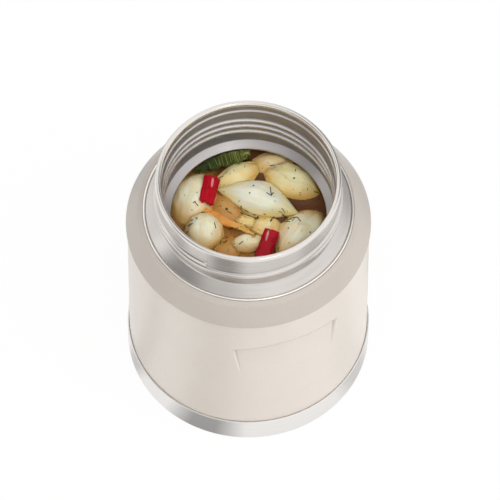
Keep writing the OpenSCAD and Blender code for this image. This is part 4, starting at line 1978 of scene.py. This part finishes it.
@dataclass
class Studio:
    """The white floor, the white surround, the lamps and the camera."""

    middle: Vector = field(default_factory=lambda: Vector((0, 0, 0.075)))
    lamps: tuple[Lamp, ...] = (
        Lamp("lamp_right", -45.0, 40.0, 1.6, 1.8, 1.5, 10.9),
        Lamp("lamp_left", 168.0, 42.0, 1.6, 0.6, 1.0, 2.6),
        Lamp("lamp_top", -100.0, 76.0, 1.9, 1.3, 1.3, 10.6),
        Lamp("lamp_spark", -80.0, 66.0, 1.7, 0.3, 0.3, 0.5, True),
    )
    surround: float = 0.59
    mirrored: float = 1.0
    floor_shown: float = 0.94
    floor_r: float = 4.0
    flags: tuple[Flag, ...] = (
        Flag(-48.0, 44.0, 46.0, 1.06),
        Flag(134.0, 47.0, 19.0, 0.5),
        Flag(162.0, 35.0, 17.0, 1.35),
        Flag(-150.0, 50.0, 26.0, 0.68),
        Flag(179.0, 43.0, 22.0, 0.18),
        Flag(33.0, 32.0, 30.0, 0.2),
    )
    mats: tuple[tuple[float, float, float], ...] = (
        (-133.0, 22.0, 0.35),
        (-42.0, 18.0, 0.72),
        (20.0, 26.0, 0.45),
        (110.0, 18.0, 0.55),
        (176.0, 11.0, 0.66),
    )
    camera_place: tuple[float, float, float] = (-0.5963, -1.6384, 3.0924)
    camera_aim: tuple[float, float, float] = (0.0, 0.0, 0.09244)
    camera_turn: tuple[float, float, float] = (-0.1912, -0.0106, 0.125)
    lens: float = 614.13

    def build(self) -> bpy.types.Object:
        """Builds the whole studio and returns the camera."""
        self._world()
        self._floor()
        for lamp in self.lamps:
            self._lamp(lamp)
        bpy.context.scene.view_settings.view_transform = "Standard"
        return self._camera()

    @staticmethod
    def _seen(tree: Tree) -> Socket:
        """1 for the rays that show the surround itself: camera, glossy and transmission rays."""
        rays = tree.add("LightPath").outputs
        beyond = tree.math("MAXIMUM", rays["Is Glossy Ray"], rays["Is Transmission Ray"])
        return tree.math("MAXIMUM", rays["Is Camera Ray"], beyond)

    def _world(self) -> None:
        """Makes the surround white where it is seen, and a soft grey where it lights."""
        world = bpy.data.worlds.new("studio")
        bpy.context.scene.world = world
        world.use_nodes = True
        tree = Tree(world.node_tree)
        rays = tree.add("LightPath").outputs
        shown = tree.math("MAXIMUM", rays["Is Camera Ray"], rays["Is Transmission Ray"])
        away = tree.add("TexCoord").outputs["Generated"]
        mirrored = self.mirrored
        for flag in self.flags:
            inputs = {0: away, 1: towards(flag.azimuth, flag.elevation)}
            facing = tree.add("VectorMath", inputs, operation="DOT_PRODUCT").outputs["Value"]
            edge, core = (math.cos(math.radians(part)) for part in (flag.spread, flag.spread / 2))
            mirrored = tree.ramp(facing, edge, core, mirrored, flag.level)
        matt = tree.ramp(rays["Is Glossy Ray"], 0.0, 1.0, self.surround, mirrored)
        level = tree.ramp(shown, 0.0, 1.0, matt, 1.0)
        back = tree.add("Background", {"Color": (1.0, 1.0, 1.0, 1.0), "Strength": level})
        tree.add("OutputWorld", {"Surface": back.outputs[0]})

    def _floor(self) -> None:
        """Lays a white floor that keeps a faint shadow."""
        bm = bmesh.new()
        bmesh.ops.create_circle(bm, cap_ends=True, segments=64, radius=self.floor_r)
        mesh = bpy.data.meshes.new("floor")
        bm.to_mesh(mesh)
        bm.free()
        floor = bpy.data.objects.new("floor", mesh)
        bpy.context.scene.collection.objects.link(floor)
        material = bpy.data.materials.new("floor")
        material.use_nodes = True
        tree = Tree(material.node_tree)
        matt = tree.add("BsdfDiffuse", {"Color": (0.95, 0.95, 0.95, 1.0)})
        x, y, _ = tree.split(tree.add("TexCoord").outputs["Object"])
        angle = tree.math("ARCTAN2", y, x)
        level = 1.0
        for middle, spread, dark in self.mats:
            turn = tree.math("SUBTRACT", angle, math.radians(middle))
            off = tree.math("ABSOLUTE", tree.math("WRAP", turn, math.pi, -math.pi))
            level = tree.ramp(off, math.radians(spread) * 0.3, math.radians(spread), dark, level)
        mirrored = tree.ramp(tree.add("LightPath").outputs["Is Glossy Ray"], 0.0, 1.0, 1.0, level)
        white = tree.add("Emission", {"Color": (1.0, 1.0, 1.0, 1.0), "Strength": mirrored})
        shown = tree.times(self._seen(tree), self.floor_shown)
        mixed = tree.add("MixShader", {0: shown, 1: matt.outputs[0], 2: white.outputs[0]})
        tree.add("OutputMaterial", {"Surface": mixed.outputs[0]})
        mesh.materials.append(material)

    def _lamp(self, lamp: Lamp) -> None:
        """Places one soft lamp."""
        light = bpy.data.lights.new(lamp.name, "AREA")
        light.shape = "RECTANGLE"
        light.size, light.size_y, light.energy = lamp.width, lamp.height, lamp.power
        item = bpy.data.objects.new(lamp.name, light)
        bpy.context.scene.collection.objects.link(item)
        away = towards(lamp.azimuth, lamp.elevation)
        item.location = self.middle + away * lamp.distance
        item.rotation_euler = (-away).to_track_quat("-Z", "Y").to_euler()
        item.visible_camera = False
        item.visible_glossy = lamp.mirrored

    def _camera(self) -> bpy.types.Object:
        """Places the camera and aims it."""
        data = bpy.data.cameras.new("camera")
        data.lens, data.sensor_width = self.lens, 36.0
        data.clip_start, data.clip_end = 0.1, 50.0
        camera = bpy.data.objects.new("camera", data)
        bpy.context.scene.collection.objects.link(camera)
        place = Vector(self.camera_place)
        aim = (Vector(self.camera_aim) - place).to_track_quat("-Z", "Y")
        turn = Euler([math.radians(part) for part in self.camera_turn], "XYZ").to_quaternion()
        camera.location = place
        camera.rotation_mode = "QUATERNION"
        camera.rotation_quaternion = aim @ turn
        bpy.context.scene.camera = camera
        return camera


# ---- making --------------------------------------------------------------------------------------


def main() -> None:
    """Builds every sub-assembly in order and reports it."""
    logging.basicConfig(level=logging.INFO, format="%(message)s")
    effects = Effects()
    camera = Studio().build()
    for assembly in (InnerVessel(), OuterNeck(), ShoulderRing(), BodyWall(), BaseCup()):
        item = assembly.build(effects)
        log.info("%s: %d faces", item.name, len(item.data.polygons))
    for item in VacuumParts().build(effects):
        log.info("%s: finish only", item.name)
    for item in Food().build(effects, camera):
        log.info("%s: %d faces", item.name, len(item.data.polygons))


if __name__ == "__main__":
    main()
